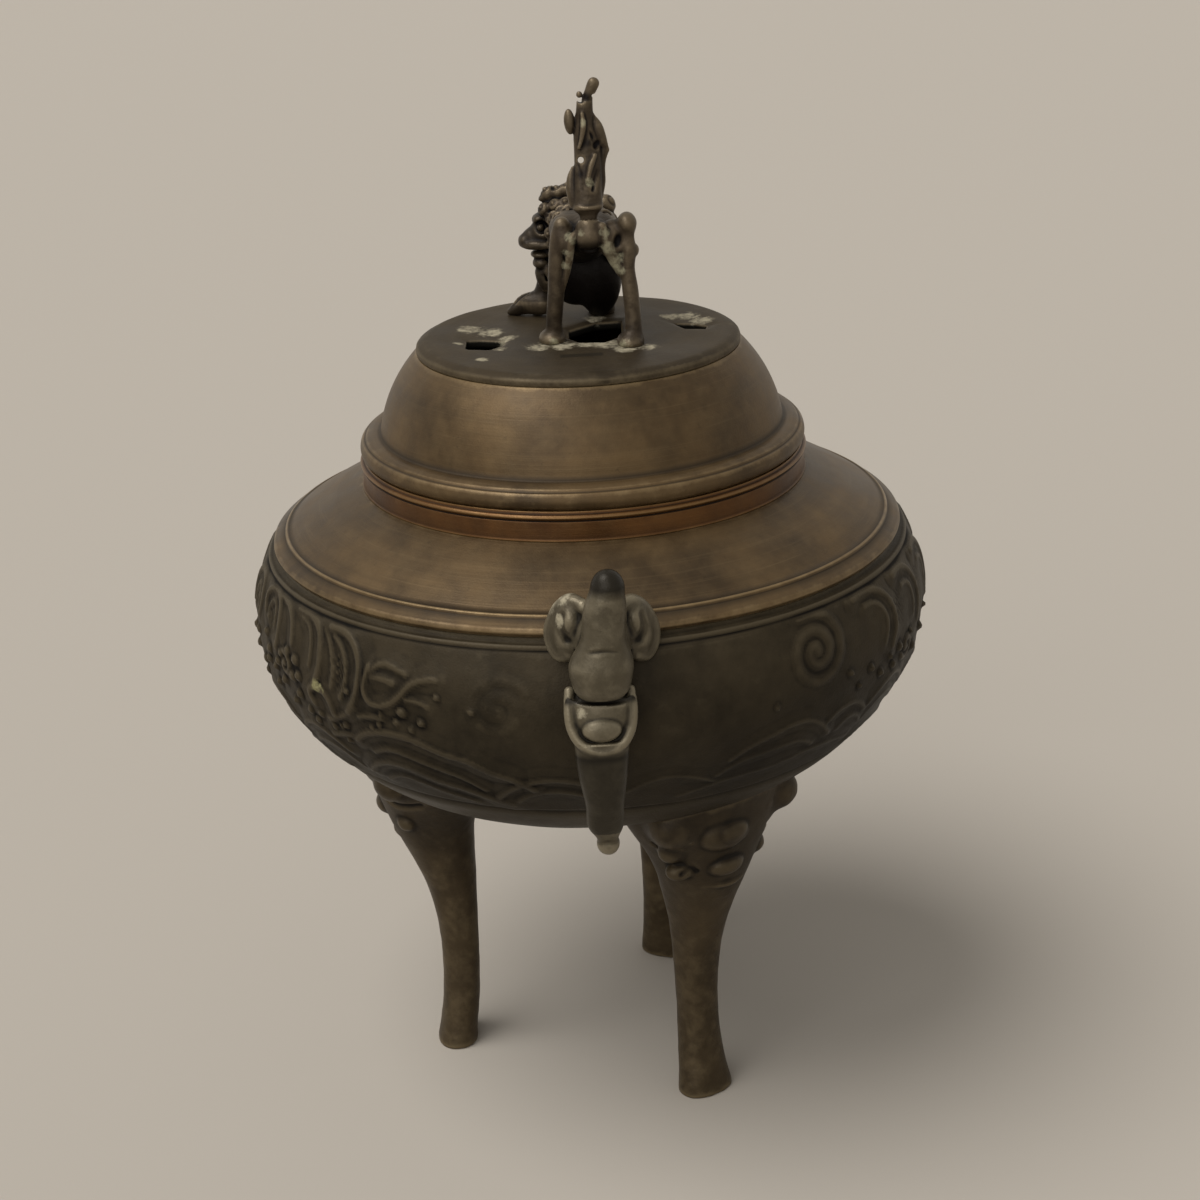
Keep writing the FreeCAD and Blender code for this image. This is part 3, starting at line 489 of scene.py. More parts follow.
# Raised lines of the relief: width and height in millimetres, then points of angle in degrees and depth
# below the bowl's lip in millimetres along its surface. Angles run from the right handle.
CREST_LINES = (
    # Foam knot beside the handle
    (0.62, 0.75, ((-39.0, 6.3), (-39.6, 8.2), (-39.9, 10.3), (-38.9, 12.2), (-36.6, 12.4), (-34.4, 11.4),
                  (-32.4, 9.6), (-31.0, 8.0), (-29.2, 7.0), (-26.6, 6.5))),
    (0.55, 0.60, ((-38.6, 7.2), (-37.6, 6.0), (-35.8, 5.3), (-33.9, 5.7), (-31.9, 6.3))),
    (0.75, 0.60, ((-38.4, 7.9), (-36.3, 7.8), (-34.2, 8.1))),
    (0.55, 0.60, ((-31.8, 10.5), (-29.9, 10.5), (-28.1, 11.0))),
    (0.55, 0.55, ((-41.6, 15.5), (-39.2, 15.0), (-36.8, 14.8))),
    # Long swells below it
    (0.70, 0.95, ((-43.5, 20.6), (-42.0, 19.3), (-39.1, 17.9), (-35.4, 17.2), (-32.5, 17.3), (-29.3, 18.2),
                  (-26.0, 19.4), (-22.2, 20.2), (-19.8, 21.5), (-17.8, 22.6), (-15.0, 23.9), (-12.0, 26.2))),
    (0.70, 0.95, ((-44.5, 28.5), (-42.4, 26.4), (-38.8, 24.5), (-35.4, 24.1), (-32.2, 24.9), (-29.0, 26.3),
                  (-24.8, 27.5), (-20.5, 29.5), (-16.5, 31.2))),
    (0.55, 0.65, ((-40.5, 22.6), (-36.5, 20.8), (-32.8, 21.4), (-28.5, 23.0), (-24.2, 24.6), (-20.6, 27.4))),
    (0.55, 0.60, ((-41.5, 30.2), (-37.0, 27.8), (-32.8, 28.2), (-28.0, 30.0), (-23.0, 31.6))),
    (0.65, 0.80, ((-18.6, 29.0), (-15.7, 26.2), (-12.7, 24.5), (-9.3, 23.6), (-5.6, 23.9), (-1.5, 25.4))),
    (0.55, 0.55, ((-15.6, 30.4), (-12.6, 27.9), (-9.2, 27.0), (-5.2, 27.4), (-1.0, 29.2))),
    # Tall breaking waves
    (0.75, 0.80, ((-48.6, 1.9), (-46.2, 1.9), (-44.0, 2.7), (-42.5, 3.9), (-41.5, 5.7), (-41.1, 7.8),
                  (-41.3, 10.2), (-42.2, 12.6), (-43.8, 15.2))),
    (0.50, 0.55, ((-47.6, 3.2), (-45.8, 4.4), (-44.6, 6.2), (-44.0, 8.4), (-44.3, 10.8), (-45.4, 13.2))),
    (0.50, 0.50, ((-50.0, 2.8), (-48.4, 4.6), (-47.4, 6.8), (-47.0, 9.4), (-47.6, 12.0))),
    (0.75, 0.80, ((-58.6, 1.2), (-56.0, 1.1), (-53.4, 1.8), (-51.4, 3.4), (-50.5, 5.6), (-50.3, 8.2),
                  (-51.0, 10.8), (-52.6, 13.2))),
    (0.50, 0.50, ((-57.2, 2.6), (-55.0, 3.2), (-53.6, 5.0), (-53.1, 7.4), (-53.5, 9.8))),
    (0.65, 0.70, ((-66.4, 1.4), (-63.8, 1.6), (-61.2, 2.8), (-59.6, 5.0), (-58.9, 7.6))),
    (0.75, 0.80, ((-72.2, 5.8), (-73.0, 3.6), (-71.6, 1.9), (-69.0, 1.2), (-66.4, 2.4), (-64.8, 4.8),
                  (-64.4, 7.6), (-65.2, 10.2))),
    (0.50, 0.50, ((-70.4, 6.8), (-70.8, 4.8), (-69.2, 3.4), (-67.4, 4.6), (-66.9, 7.0))),
    (0.80, 0.80, ((-52.6, 16.2), (-53.6, 14.4), (-52.2, 13.1), (-49.8, 13.2), (-48.2, 14.6), (-47.6, 16.6))),
    (0.60, 0.60, ((-49.2, 18.2), (-46.9, 17.2), (-44.4, 15.8), (-42.2, 14.2))),
    (0.60, 0.55, ((-50.0, 21.6), (-47.4, 20.8), (-44.2, 20.2), (-40.6, 18.8))),
    (0.70, 0.75, ((-84.6, 8.4), (-85.4, 5.4), (-83.8, 2.8), (-80.6, 1.6), (-77.6, 2.8), (-76.2, 5.6),
                  (-76.4, 8.6))),
    (0.50, 0.50, ((-82.6, 9.2), (-82.9, 6.2), (-80.8, 4.2), (-78.8, 5.6), (-78.4, 8.4))),
    (0.60, 0.65, ((-62.0, 24.6), (-58.6, 22.2), (-54.6, 21.4), (-50.8, 22.6), (-47.6, 24.8))),
    (0.50, 0.45, ((-61.2, 28.2), (-57.6, 25.8), (-53.8, 25.2), (-50.2, 26.6), (-46.8, 29.0))),
    (0.60, 0.65, ((-80.2, 24.0), (-76.4, 21.2), (-72.0, 20.2), (-67.8, 21.4), (-64.2, 24.0))),
    (0.50, 0.45, ((-78.6, 27.8), (-74.8, 25.2), (-71.2, 24.4), (-67.4, 25.6), (-64.0, 28.4))),
    (0.60, 0.60, ((-70.2, 31.6), (-66.4, 29.8), (-62.2, 29.4), (-57.8, 30.6), (-53.6, 31.6))),
    # Swells and crests on the far side of the handle
    (0.55, 0.55, ((20.4, 23.2), (22.8, 21.5), (25.2, 20.5), (27.9, 19.7), (30.4, 19.0), (33.1, 18.8),
                  (35.9, 19.6), (38.4, 21.4), (40.8, 24.2))),
    (0.50, 0.45, ((18.6, 26.6), (21.0, 24.9), (24.2, 23.8), (28.0, 23.2), (31.6, 22.9), (34.8, 23.6),
                  (37.4, 25.4))),
    (0.55, 0.55, ((39.0, 21.4), (41.0, 19.8), (43.9, 19.2), (47.2, 20.2), (50.0, 22.6))),
    (0.50, 0.45, ((43.0, 24.2), (45.4, 22.6), (48.2, 23.4), (50.6, 25.8))),
    (0.55, 0.50, ((12.4, 30.6), (18.0, 29.0), (24.6, 28.2), (31.0, 27.8), (36.8, 27.2), (43.2, 27.4),
                  (49.0, 28.8))),
    (0.45, 0.40, ((3.0, 27.6), (7.0, 25.4), (11.2, 24.8), (15.4, 26.2), (19.2, 28.4))),
    (0.55, 0.60, ((50.6, 22.2), (53.8, 19.8), (57.6, 18.9), (61.4, 19.9), (64.6, 22.4))),
    (0.50, 0.45, ((51.8, 26.0), (54.8, 23.6), (58.0, 22.8), (61.6, 24.0), (64.8, 26.8))),
    (0.55, 0.60, ((66.0, 24.2), (69.4, 21.8), (73.2, 21.0), (77.2, 22.2), (80.6, 25.0))),
    (0.50, 0.45, ((67.4, 28.0), (70.6, 25.6), (74.0, 25.0), (77.6, 26.4))),
    (0.50, 0.45, ((52.0, 31.4), (56.8, 30.0), (62.0, 29.8), (67.2, 31.0))),
    # Right edge: curling crests
    (0.65, 0.70, ((47.0, 1.7), (50.2, 1.4), (53.6, 2.2), (56.4, 4.4), (57.6, 7.4), (57.4, 10.4),
                  (56.0, 13.0))),
    (0.50, 0.50, ((49.4, 3.8), (52.4, 4.2), (54.4, 6.4), (54.8, 9.2), (53.8, 11.6))),
    (0.65, 0.70, ((60.8, 2.2), (64.2, 1.9), (67.6, 3.4), (69.6, 6.4), (69.6, 9.8), (68.0, 12.8))),
    (0.50, 0.50, ((62.8, 4.6), (65.6, 5.2), (66.9, 8.0), (66.2, 11.0))),
    (0.70, 0.75, ((74.0, 2.4), (77.6, 1.8), (81.2, 3.2), (83.4, 6.4), (83.4, 10.0), (81.6, 13.2))),
    (0.50, 0.50, ((76.4, 4.8), (79.2, 5.4), (80.6, 8.2), (80.0, 11.4))),
)

# Whirls: angle, depth, outer radius, turns and way round, line width and height
WHIRLS = (
    (-16.4, 10.6, 5.6, 1.9, 1, 0.70, 0.17),
    (36.4, 7.4, 6.6, 2.3, -1, 0.70, 0.33),
    (-61.5, 12.2, 2.4, 1.4, -1, 0.50, 0.60),
    (62.6, 15.4, 2.4, 1.4, 1, 0.50, 0.60),
    (86.5, 15.0, 2.6, 1.5, -1, 0.50, 0.60),
)

# Drops of spray: angle, depth, radius
DROPS = (
    (-32.8, 12.8, 0.95), (-29.4, 14.2, 0.65), (-39.1, 16.9, 0.65), (-20.6, 11.0, 0.6), (-43.8, 11.6, 0.75),
    (-63.1, 10.7, 0.9), (-57.8, 10.2, 1.0), (-57.0, 12.9, 0.9), (-68.8, 11.9, 0.9), (-57.7, 16.4, 0.9),
    (-62.9, 15.6, 0.9), (-70.5, 9.4, 0.7), (-76.8, 11.2, 0.9), (-55.0, 18.5, 0.9), (-66.2, 14.2, 0.8),
    (-72.6, 15.2, 0.9), (-60.2, 18.6, 0.8), (-78.8, 14.6, 0.8), (-82.4, 12.6, 0.9), (-74.4, 18.2, 0.7),
    (-86.2, 17.0, 0.8), (-36.8, 14.0, 0.5), (-26.4, 9.4, 0.5), (-46.4, 18.8, 0.6),
    (59.1, 14.4, 0.9), (67.5, 17.6, 0.9), (57.0, 16.8, 0.8), (52.6, 16.6, 0.7), (55.5, 14.8, 0.6),
    (49.4, 14.6, 0.7), (64.4, 13.6, 0.6), (72.0, 15.6, 0.8), (76.2, 17.6, 0.7), (78.6, 14.4, 0.6),
    (46.2, 16.6, 0.5), (28.0, 14.6, 0.5), (43.6, 13.4, 0.6), (86.4, 20.2, 0.7), (-47.2, 16.9, 0.8),
    (-45.4, 18.4, 0.8), (-48.6, 19.6, 0.7), (-51.6, 18.0, 0.8), (-53.4, 20.0, 0.8), (-59.0, 13.4, 1.1),
    (-60.4, 9.4, 0.9), (-64.6, 12.6, 1.0), (-66.6, 17.4, 0.9), (-69.6, 14.0, 0.9), (-46.0, 21.8, 0.6),
    (-34.0, 15.0, 0.6), (-31.2, 15.6, 0.6), (-37.4, 16.0, 0.7),
)

# Faint scale marks on the tallest waves: angle and depth of the patch, half sizes in degrees and millimetres
SCALE_PATCHES = (
    (-80.6, 6.4, 3.4, 3.2),
    (-69.0, 6.2, 2.6, 3.4),
    (-45.6, 8.6, 2.6, 3.6),
    (59.6, 7.6, 3.0, 3.4),
    (72.0, 7.2, 3.0, 3.4),
)


def belly_outline():
    """Radii and heights from the lip down at even steps, and the depth of each along the surface."""
    height = BOWL_TOP - BOWL_FOOT
    points = [(share * BOWL_RADIUS, BOWL_FOOT + part * height) for share, part in BELLY_SHARES]
    curve = natural_curve(points, 600)[::-1]
    depth = np.concatenate([[0], np.cumsum(np.linalg.norm(np.diff(curve, axis=0), axis=1))])
    return curve, depth


def ridge(distance, width, height):
    """The height of a rounded ridge at distances from its line; it is as high and half as wide as this."""
    return height * np.clip(1 - (distance / width) ** 2, 0, 1) ** 1.5


def line_distance(x, y, path, scale=1):
    """Distance of each place from a line through the path's points, with both stretched along X."""
    nearest = np.full(x.shape, 1e9)
    for (ax, ay), (bx, by) in zip(path, path[1:]):
        dx, dy = (bx - ax) * scale, by - ay
        px, py = (x - ax) * scale, y - ay
        t = np.clip((px * dx + py * dy) / np.maximum(dx * dx + dy * dy, 1e-9), 0, 1)
        nearest = np.minimum(nearest, np.hypot(px - t * dx, py - t * dy))
    return nearest


def relief(angle, depth, radius):
    """Height of the relief at places given by angle in degrees, depth and distance from the axis."""
    height = np.zeros(angle.shape)
    turn = (angle + 90) % 180 - 90
    millimetres_per_degree = math.radians(1) * radius

    def near(centre, reach_angle, low, high):
        return (abs(turn - centre) < reach_angle) & (depth > low) & (depth < high)

    def raise_to(pick, level):
        height[pick] = np.maximum(height[pick], level)

    for width, tall, path in CREST_LINES:
        curve = natural_curve(path, 6 * len(path))
        centre, half = curve[:, 0].mean(), np.ptp(curve[:, 0]) / 2 + 4
        pick = near(centre, half, curve[:, 1].min() - 3, curve[:, 1].max() + 3)
        distance = line_distance(turn[pick], depth[pick], curve, millimetres_per_degree[pick])
        raise_to(pick, ridge(distance, 1.8 * width, 0.88 * tall))
        raise_to(pick, ridge(distance, 4.6 * width, 0.46 * tall))
    for centre, low, size, turns, way, width, tall in WHIRLS:
        pick = near(centre, 12, low - size - 2, low + size + 2)
        x, y = (turn[pick] - centre) * millimetres_per_degree[pick], depth[pick] - low
        steps = np.linspace(0.12, 1, 60)
        bend = way * steps * turns * 2 * math.pi
        path = list(zip(steps * size * np.cos(bend), steps * size * np.sin(bend)))
        raise_to(pick, ridge(line_distance(x, y, path), 1.9 * width, 0.8 * tall))
        raise_to(pick, ridge(np.hypot(x, y), 0.24 * size, 0.9 * tall))
    for centre, low, size in DROPS:
        pick = near(centre, 3, low - 2, low + 2)
        distance = np.hypot((turn[pick] - centre) * millimetres_per_degree[pick], depth[pick] - low)
        raise_to(pick, ridge(distance, 1.25 * size, 0.85))
    for centre, low, wide, tall in SCALE_PATCHES:
        pick = near(centre, wide, low - tall, low + tall)
        u, v = (turn[pick] - centre) / wide, (depth[pick] - low) / tall
        fade = np.clip(1 - np.hypot(u, v), 0, 1)
        waves = np.sin(turn[pick] * 4.2) * np.sin(depth[pick] * 4.4 + 2 * np.cos(turn[pick] * 4.2))
        height[pick] += 0.22 * fade ** 0.5 * np.clip(waves, -0.4, 1)
    return height


def bowl_outline(curve, along):
    """The closed outline of the hollow bowl, with rows close together where the relief lies."""
    relief_rows = np.arange(1.2, RELIEF_END + 1.6, ROW_STEP)
    plain_rows = np.linspace(RELIEF_END + 2.2, along[-1], PLAIN_ROWS)
    depths = np.concatenate([LIP_ROWS, relief_rows, plain_rows])
    outer = np.stack([np.interp(depths, along, curve[:, k]) for k in (0, 1)], 1)
    floor = BOWL_FOOT + BOWL_WALL
    inner = curve[::-1][::50].copy()
    inner[:, 0] *= (BOWL_RADIUS - BOWL_WALL) / BOWL_RADIUS
    inner[:, 1] = floor + (inner[:, 1] - BOWL_FOOT) * (1 - BOWL_WALL / (BOWL_TOP - BOWL_FOOT))
    lip = outer[0]
    rim = [
        (SEAT_RADIUS, BOWL_TOP - 3.0),
        (SEAT_RADIUS, BOWL_TOP),
        (GROOVE_RADIUS, BOWL_TOP),
        (GROOVE_RADIUS, lip[1] + 0.1),
        (lip[0] - 0.5, lip[1] + 0.02),
    ]
    return np.vstack([outer, [(AXIS_RADIUS, BOWL_FOOT), (AXIS_RADIUS, floor)], inner[:-1], rim])


def make_bowl():
    curve, along = belly_outline()
    obj = turned("bowl_cast", bowl_outline(curve, along), BOWL_COLUMNS, dent=0.0)
    points = points_of(obj)
    radius = np.hypot(points[:, 0], points[:, 1])
    angle = np.degrees(np.arctan2(points[:, 1], points[:, 0]))
    outside = radius > np.interp(points[:, 2], curve[::-1, 1], curve[::-1, 0]) - 1.0
    outside &= points[:, 2] < curve[0, 1] + 0.05
    depth = np.interp(-points[:, 2], -curve[:, 1], along)

    # Relief, a slow swell of the ground, and a turned line above and below
    height = relief(angle, depth, radius)
    swell = 0.09 * wobble(points, 11.0, 7) + 0.02 * wobble(points, 3.0, 8)
    fade = rise(depth, LIP_LINE, 1.0) * rise(depth, RELIEF_END + 1, -1.0)
    lines = ridge(abs(depth - FOOT_LINE), 0.8, 0.45) + ridge(abs(depth - LIP_LINE), 0.45, 0.25)
    lift = np.clip(height + swell - 0.1, -0.2, RELIEF_TOP) * fade - lines
    lift -= 0.05 * (1 + wobble(points, 20.0, 9)) * (1 - fade)
    points += normals_of(obj) * (lift * outside)[:, None]
    points[:, 1] = np.clip(points[:, 1], -BOWL_RADIUS - 0.1, BOWL_RADIUS + 0.1)
    set_points(obj, points)

    # Wear, crust on one crest, and painted shade low down and on the side away from the lamps
    mark_wear(obj, 4, 0.17)
    spot = np.hypot((angle + 51.0) * math.radians(1) * radius, depth - 13.3)
    set_mark(obj, "residue", np.clip(1.6 - spot / 1.5, 0, 1) * (height > 0.35))
    side = rise(points[:, 1], 8.0, 20.0) * rise(depth, 6.0, 8.0)
    patch = np.clip(0.5 + 0.5 * wobble(points, 26.0, 17), 0, 1)
    dark_patina_and_shade = np.clip(0.62 * rise(depth, 12.0, 16.0) + 0.3 * side, 0, 0.8)
    set_mark(obj, "dark_patina_and_shade", dark_patina_and_shade * (0.7 + 0.3 * patch) * outside)
    finish_piece(obj, "vessel", "bronze_relief", relief_bronze, "bowl")


def belly_solid():
    """The belly as a full solid's outline, up to the lip."""
    curve = belly_outline()[0]
    return [(0, BOWL_FOOT)] + curve[::-12].tolist() + [(0, curve[0][1])]


def vessel_solid():
    """The belly and the shoulder above it as one full solid's outline."""
    shoulder = [
        (GROOVE_RADIUS, BOWL_TOP - 0.6),
        (GROOVE_RADIUS + 0.3, BOWL_TOP),
        (55.4, 103.3),
        (53.2, 105.4),
        (38.8, 112.6),
        (0, 112.6),
    ]
    return belly_solid()[:-1] + shoulder


make_bowl()


# Turned rings and the lid's dome
TURNED_COLUMNS = 480
WEAR_REACH = 0.5
WEAR_DEPTH = 0.16
BLOCK = 20000


def make_turned(name, corners, body, slot, material, node, seed):
    """A turned piece that is worn on the edges of its outline and darker in the corners."""
    outline = rounded(corners)
    obj = turned(name, outline, TURNED_COLUMNS, seed=seed)
    wear = outline_wear(outline, WEAR_REACH, WEAR_DEPTH)
    points = points_of(obj)
    place = np.stack([np.hypot(points[:, 0], points[:, 1]), points[:, 2]], 1)
    marks = np.empty(len(points))
    for start in range(0, len(points), BLOCK):
        block = place[start:start + BLOCK]
        near = ((block[:, None, :] - outline[None, :, :]) ** 2).sum(2).argmin(1)
        marks[start:start + BLOCK] = wear[near]
    set_mark(obj, "wear", marks)
    finish_piece(obj, body, slot, material, node)


MOUTH_RADIUS = 36.2
COLLAR_RADIUS = 38.8
SHOULDER_EDGE = 53.0
SHOULDER_DROP = 7.2
RIM_RADIUS = 55.4
RIM_DROP = 9.2
SHOULDER_WALL = 2.2

shoulder_corners = [(COLLAR_RADIUS, SHOULDER_TOP, 0.0)]
shoulder_corners += bulged(
    (COLLAR_RADIUS, SHOULDER_TOP), (SHOULDER_EDGE - 0.5, SHOULDER_TOP - SHOULDER_DROP + 0.1), -0.35, 14)[1:]
shoulder_corners += [
    (SHOULDER_EDGE - 0.25, SHOULDER_TOP - SHOULDER_DROP + 0.22, 0.1),
    (SHOULDER_EDGE + 0.05, SHOULDER_TOP - SHOULDER_DROP + 0.05, 0.1),
    (SHOULDER_EDGE + 0.20, SHOULDER_TOP - SHOULDER_DROP - 0.45, 0.1),
    (RIM_RADIUS - 0.35, SHOULDER_TOP - RIM_DROP + 0.55, 0.5),
    (RIM_RADIUS - 0.05, SHOULDER_TOP - RIM_DROP - 0.1, 0.3),
    (RIM_RADIUS - 0.55, BOWL_TOP, 0.2),
    (SEAT_RADIUS, BOWL_TOP, 0.1),
    (SEAT_RADIUS, SHOULDER_TOP - 8.1, 0.3),
    (MOUTH_RADIUS, SHOULDER_TOP - SHOULDER_WALL, 0.3),
    (MOUTH_RADIUS, SHOULDER_TOP, 0.0),
]
make_turned("shoulder_turned", shoulder_corners, "vessel", "bronze_turned", turned_bronze, "shoulder_ring",
    11)

collar_corners = [
    (COLLAR_RADIUS + 0.12, SHOULDER_TOP, 0.0),
    (COLLAR_RADIUS - 0.05, SHOULDER_TOP + 0.35, 0.2),
    (COLLAR_RADIUS - 0.05, COLLAR_TOP - 1.75, 0.1),
    (COLLAR_RADIUS - 0.25, COLLAR_TOP - 1.6, 0.1),
    (COLLAR_RADIUS - 0.05, COLLAR_TOP - 1.40, 0.2),
    (COLLAR_RADIUS + 0.30, COLLAR_TOP - 1.00, 0.3),
    (COLLAR_RADIUS + 0.05, COLLAR_TOP - 0.60, 0.2),
    (COLLAR_RADIUS - 0.35, COLLAR_TOP - 0.45, 0.1),
    (COLLAR_RADIUS - 0.45, COLLAR_TOP, 0.1),
    (MOUTH_RADIUS, COLLAR_TOP, 0.4),
    (MOUTH_RADIUS, SHOULDER_TOP, 0.0),
]
make_turned("collar_turned", collar_corners, "vessel", "bronze_collar", collar_bronze, "collar", 12)

RIM_OUTER = 35.8
RIM_INNER = 34.2
FLANGE_RADIUS = 38.9
DOME_FOOT = COLLAR_TOP + 4.1
DOME_RADIUS = 35.3
PLATE_RADIUS = 28.0
PLATE_SEAT = 25.5
DOME_WALL = 1.9
DOME_BULGE = 1.15
RIM_DEPTH = 3.2

dome_corners = [
    (RIM_OUTER, COLLAR_TOP - RIM_DEPTH, 0.3),
    (RIM_OUTER, COLLAR_TOP, 0.0),
    (FLANGE_RADIUS - 0.95, COLLAR_TOP, 0.1),
    (FLANGE_RADIUS - 0.25, COLLAR_TOP + 0.55, 0.3),
    (FLANGE_RADIUS + 0.00, COLLAR_TOP + 1.55, 0.5),
    (FLANGE_RADIUS - 0.25, COLLAR_TOP + 2.55, 0.4),
    (FLANGE_RADIUS - 0.60, COLLAR_TOP + 2.95, 0.15),
    (FLANGE_RADIUS - 0.95, COLLAR_TOP + 3.00, 0.1),
    (FLANGE_RADIUS - 1.25, COLLAR_TOP + 3.45, 0.3),
    (FLANGE_RADIUS - 2.40, COLLAR_TOP + 3.90, 0.4),
    (DOME_RADIUS + 0.15, DOME_FOOT - 0.15, 0.2),
]
dome_corners += bulged(
    (DOME_RADIUS - 0.15, DOME_FOOT + 0.1), (PLATE_RADIUS + 0.15, DOME_TOP - 0.1), DOME_BULGE, 16)
dome_corners += [
    (PLATE_RADIUS, DOME_TOP, 0.1),
    (PLATE_SEAT, DOME_TOP, 0.2),
    (PLATE_SEAT, DOME_TOP - DOME_WALL, 0.2),
]
dome_corners += bulged(
    (PLATE_SEAT, DOME_TOP - DOME_WALL), (DOME_RADIUS - DOME_WALL, DOME_FOOT), -DOME_BULGE, 10)[1:]
dome_corners += [
    (RIM_INNER, COLLAR_TOP, 0.3),
    (RIM_INNER, COLLAR_TOP - RIM_DEPTH, 0.3),
]
make_turned("dome_turned", dome_corners, "lid", "bronze_turned", turned_bronze, "lid_dome", 13)

for node in ("leg_rivets", "handle_rivets", "finial_pins"):
    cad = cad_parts[node]
    cad.data.materials.clear()
    cad.data.materials.append(rivet_bronze)


# Cast forms
CELL_CORNERS = [(i, j, k) for i in (0, 1) for j in (0, 1) for k in (0, 1)]
FAR = 9.0


class Clay:
    """Rounded solids that melt into each other, kept as distances on a grid of cells; negative is inside."""

    def __init__(self, low, high, cell):
        self.cell = cell
        self.axes = [np.arange(a, b + cell, cell) for a, b in zip(low, high)]
        self.field = np.full([len(axis) for axis in self.axes], FAR)

    def window(self, low, high, margin=2.5):
        """The slices and the places of the grid's points within a box and a margin about it."""
        picks = []
        for axis, a, b in zip(self.axes, low, high):
            first = max(np.searchsorted(axis, a - margin) - 1, 0)
            picks.append(slice(first, max(np.searchsorted(axis, b + margin) + 1, first + 1)))
        axes = [axis[pick] for axis, pick in zip(self.axes, picks)]
        return tuple(picks), np.stack(np.meshgrid(*axes, indexing="ij"), -1)

    def whole(self):
        return self.window([axis[0] for axis in self.axes], [axis[-1] for axis in self.axes])

    def melt(self, where, distance, blend, cut):
        """Adds a shape or cuts it out, with a fillet of about the blend's size."""
        sign = -1 if cut else 1
        old = sign * self.field[where]
        share = np.clip(0.5 + 0.5 * (old - distance) / blend, 0, 1)
        self.field[where] = sign * (old * (1 - share) + distance * share - blend * share * (1 - share))

    def ball(self, centre, halves, blend=0.6, turn=(0, 0, 0), cut=False):
        """An ellipsoid, turned by degrees about X, Y and Z."""
        centre, halves = np.array(centre, float), np.array(halves, float)
        where, grid = self.window(centre - halves.max(), centre + halves.max())
        turned_by = np.array(Euler([math.radians(a) for a in turn]).to_matrix())
        local = (grid - centre) @ turned_by
        first = np.maximum(np.sqrt(((local / halves) ** 2).sum(-1)), 1e-3)
        second = np.sqrt(((local / halves ** 2) ** 2).sum(-1))
        self.melt(where, first * (first - 1) / np.maximum(second, 1e-6), blend, cut)

    def limb(self, path, blend=0.6, cut=False, flat=None, steps=4):
        """A round-ended limb through points given as (x, y, z, radius); flat is a direction and a ratio."""
        path = smooth_path(path, steps)
        reach = path[:, 3].max()
        where, grid = self.window(path[:, :3].min(0) - reach, path[:, :3].max(0) + reach)
        places, scale = path[:, :3].copy(), 1.0
        if flat:
            direction = np.array(flat[0], float)
            direction /= np.linalg.norm(direction)
            stretch = np.eye(3) + (1 / flat[1] - 1) * np.outer(direction, direction)
            places, grid, scale = places @ stretch, grid @ stretch, flat[1] ** 0.5
        nearest = np.full(grid.shape[:-1], 1e3)
        for a, b, start, end in zip(places, places[1:], path[:, 3], path[1:, 3]):
            along = b - a
            t = np.clip((grid - a) @ along / max(along @ along, 1e-9), 0, 1)
            gap = grid - a - t[..., None] * along
            distance = np.sqrt((gap ** 2).sum(-1)) - start - t * (end - start)
            nearest = np.minimum(nearest, distance)
        self.melt(where, nearest * scale, blend, cut)

    def stack(self, sections, blend=0.6, power=2.0):
        """A body of level oval sections given as (z, x, y, half x, half y)."""
        rows = natural_curve(sections, 60)
        low = (rows[:, 1:3] - rows[:, 3:5]).min(0)
        high = (rows[:, 1:3] + rows[:, 3:5]).max(0)
        where, grid = self.window((*low, rows[0, 0]), (*high, rows[-1, 0]))
        z = grid[..., 2]
        x, y, half_x, half_y = [np.interp(z, rows[:, 0], rows[:, k]) for k in range(1, 5)]
        u, v = abs(grid[..., 0] - x) / half_x, abs(grid[..., 1] - y) / half_y
        size = np.maximum((u ** power + v ** power) ** (1 / power), 1e-3)
        slope = np.hypot(u ** (power - 1) / half_x, v ** (power - 1) / half_y) / size ** (power - 1)
        distance = (size - 1) / np.maximum(slope, 1e-6)
        ends = np.maximum(rows[0, 0] - z, z - rows[-1, 0])
        self.melt(where, np.maximum(distance, ends), blend, False)

    def trim(self, distance, blend=0.2):
        """Takes away what lies inside another shape, given by a function of places."""
        where, grid = self.whole()
        self.melt(where, distance(grid), blend, True)

    def skin(self, name):
        """A mesh of quads on the surface, one point in each cell that the surface crosses."""
        inside = self.field < 0
        shape = np.array(inside.shape) - 1
        views = {c: tuple(slice(o, o + n) for o, n in zip(c, shape)) for c in CELL_CORNERS}
        count = sum(inside[views[c]].astype(int) for c in CELL_CORNERS)
        mixed = (count > 0) & (count < 8)
        index = np.full(shape, -1)
        index[mixed] = np.arange(mixed.sum())
        faces = [self.cell_faces(inside, index, axis) for axis in range(3)]
        points = self.cell_points(views, mixed)
        obj = add_mesh(name, points, np.concatenate(faces))
        for _ in range(2):
            points = 0.5 * points + 0.5 * spread(points, 1, edges_of(obj))
            points = self.pull(points)
        set_points(obj, points)
        tidy_normals(obj)
        return obj

    def cell_points(self, views, mixed):
        """In each crossed cell, the mean of the places where its edges cross the surface."""
        cells = np.argwhere(mixed)
        total, hits = np.zeros((len(cells), 3)), np.zeros(len(cells))
        for first in CELL_CORNERS:
            for axis in range(3):
                if first[axis]:
                    continue
                second = tuple(1 if k == axis else first[k] for k in range(3))
                a, b = self.field[views[first]][mixed], self.field[views[second]][mixed]
                cross = (a < 0) != (b < 0)
                place = np.tile(np.array(first, float), (len(cells), 1))
                place[:, axis] = a / np.where(cross, a - b, 1)
                total[cross] += place[cross]
                hits[cross] += 1
        corner = np.array([axis[0] for axis in self.axes])
        return corner + self.cell * (cells + total / hits[:, None])

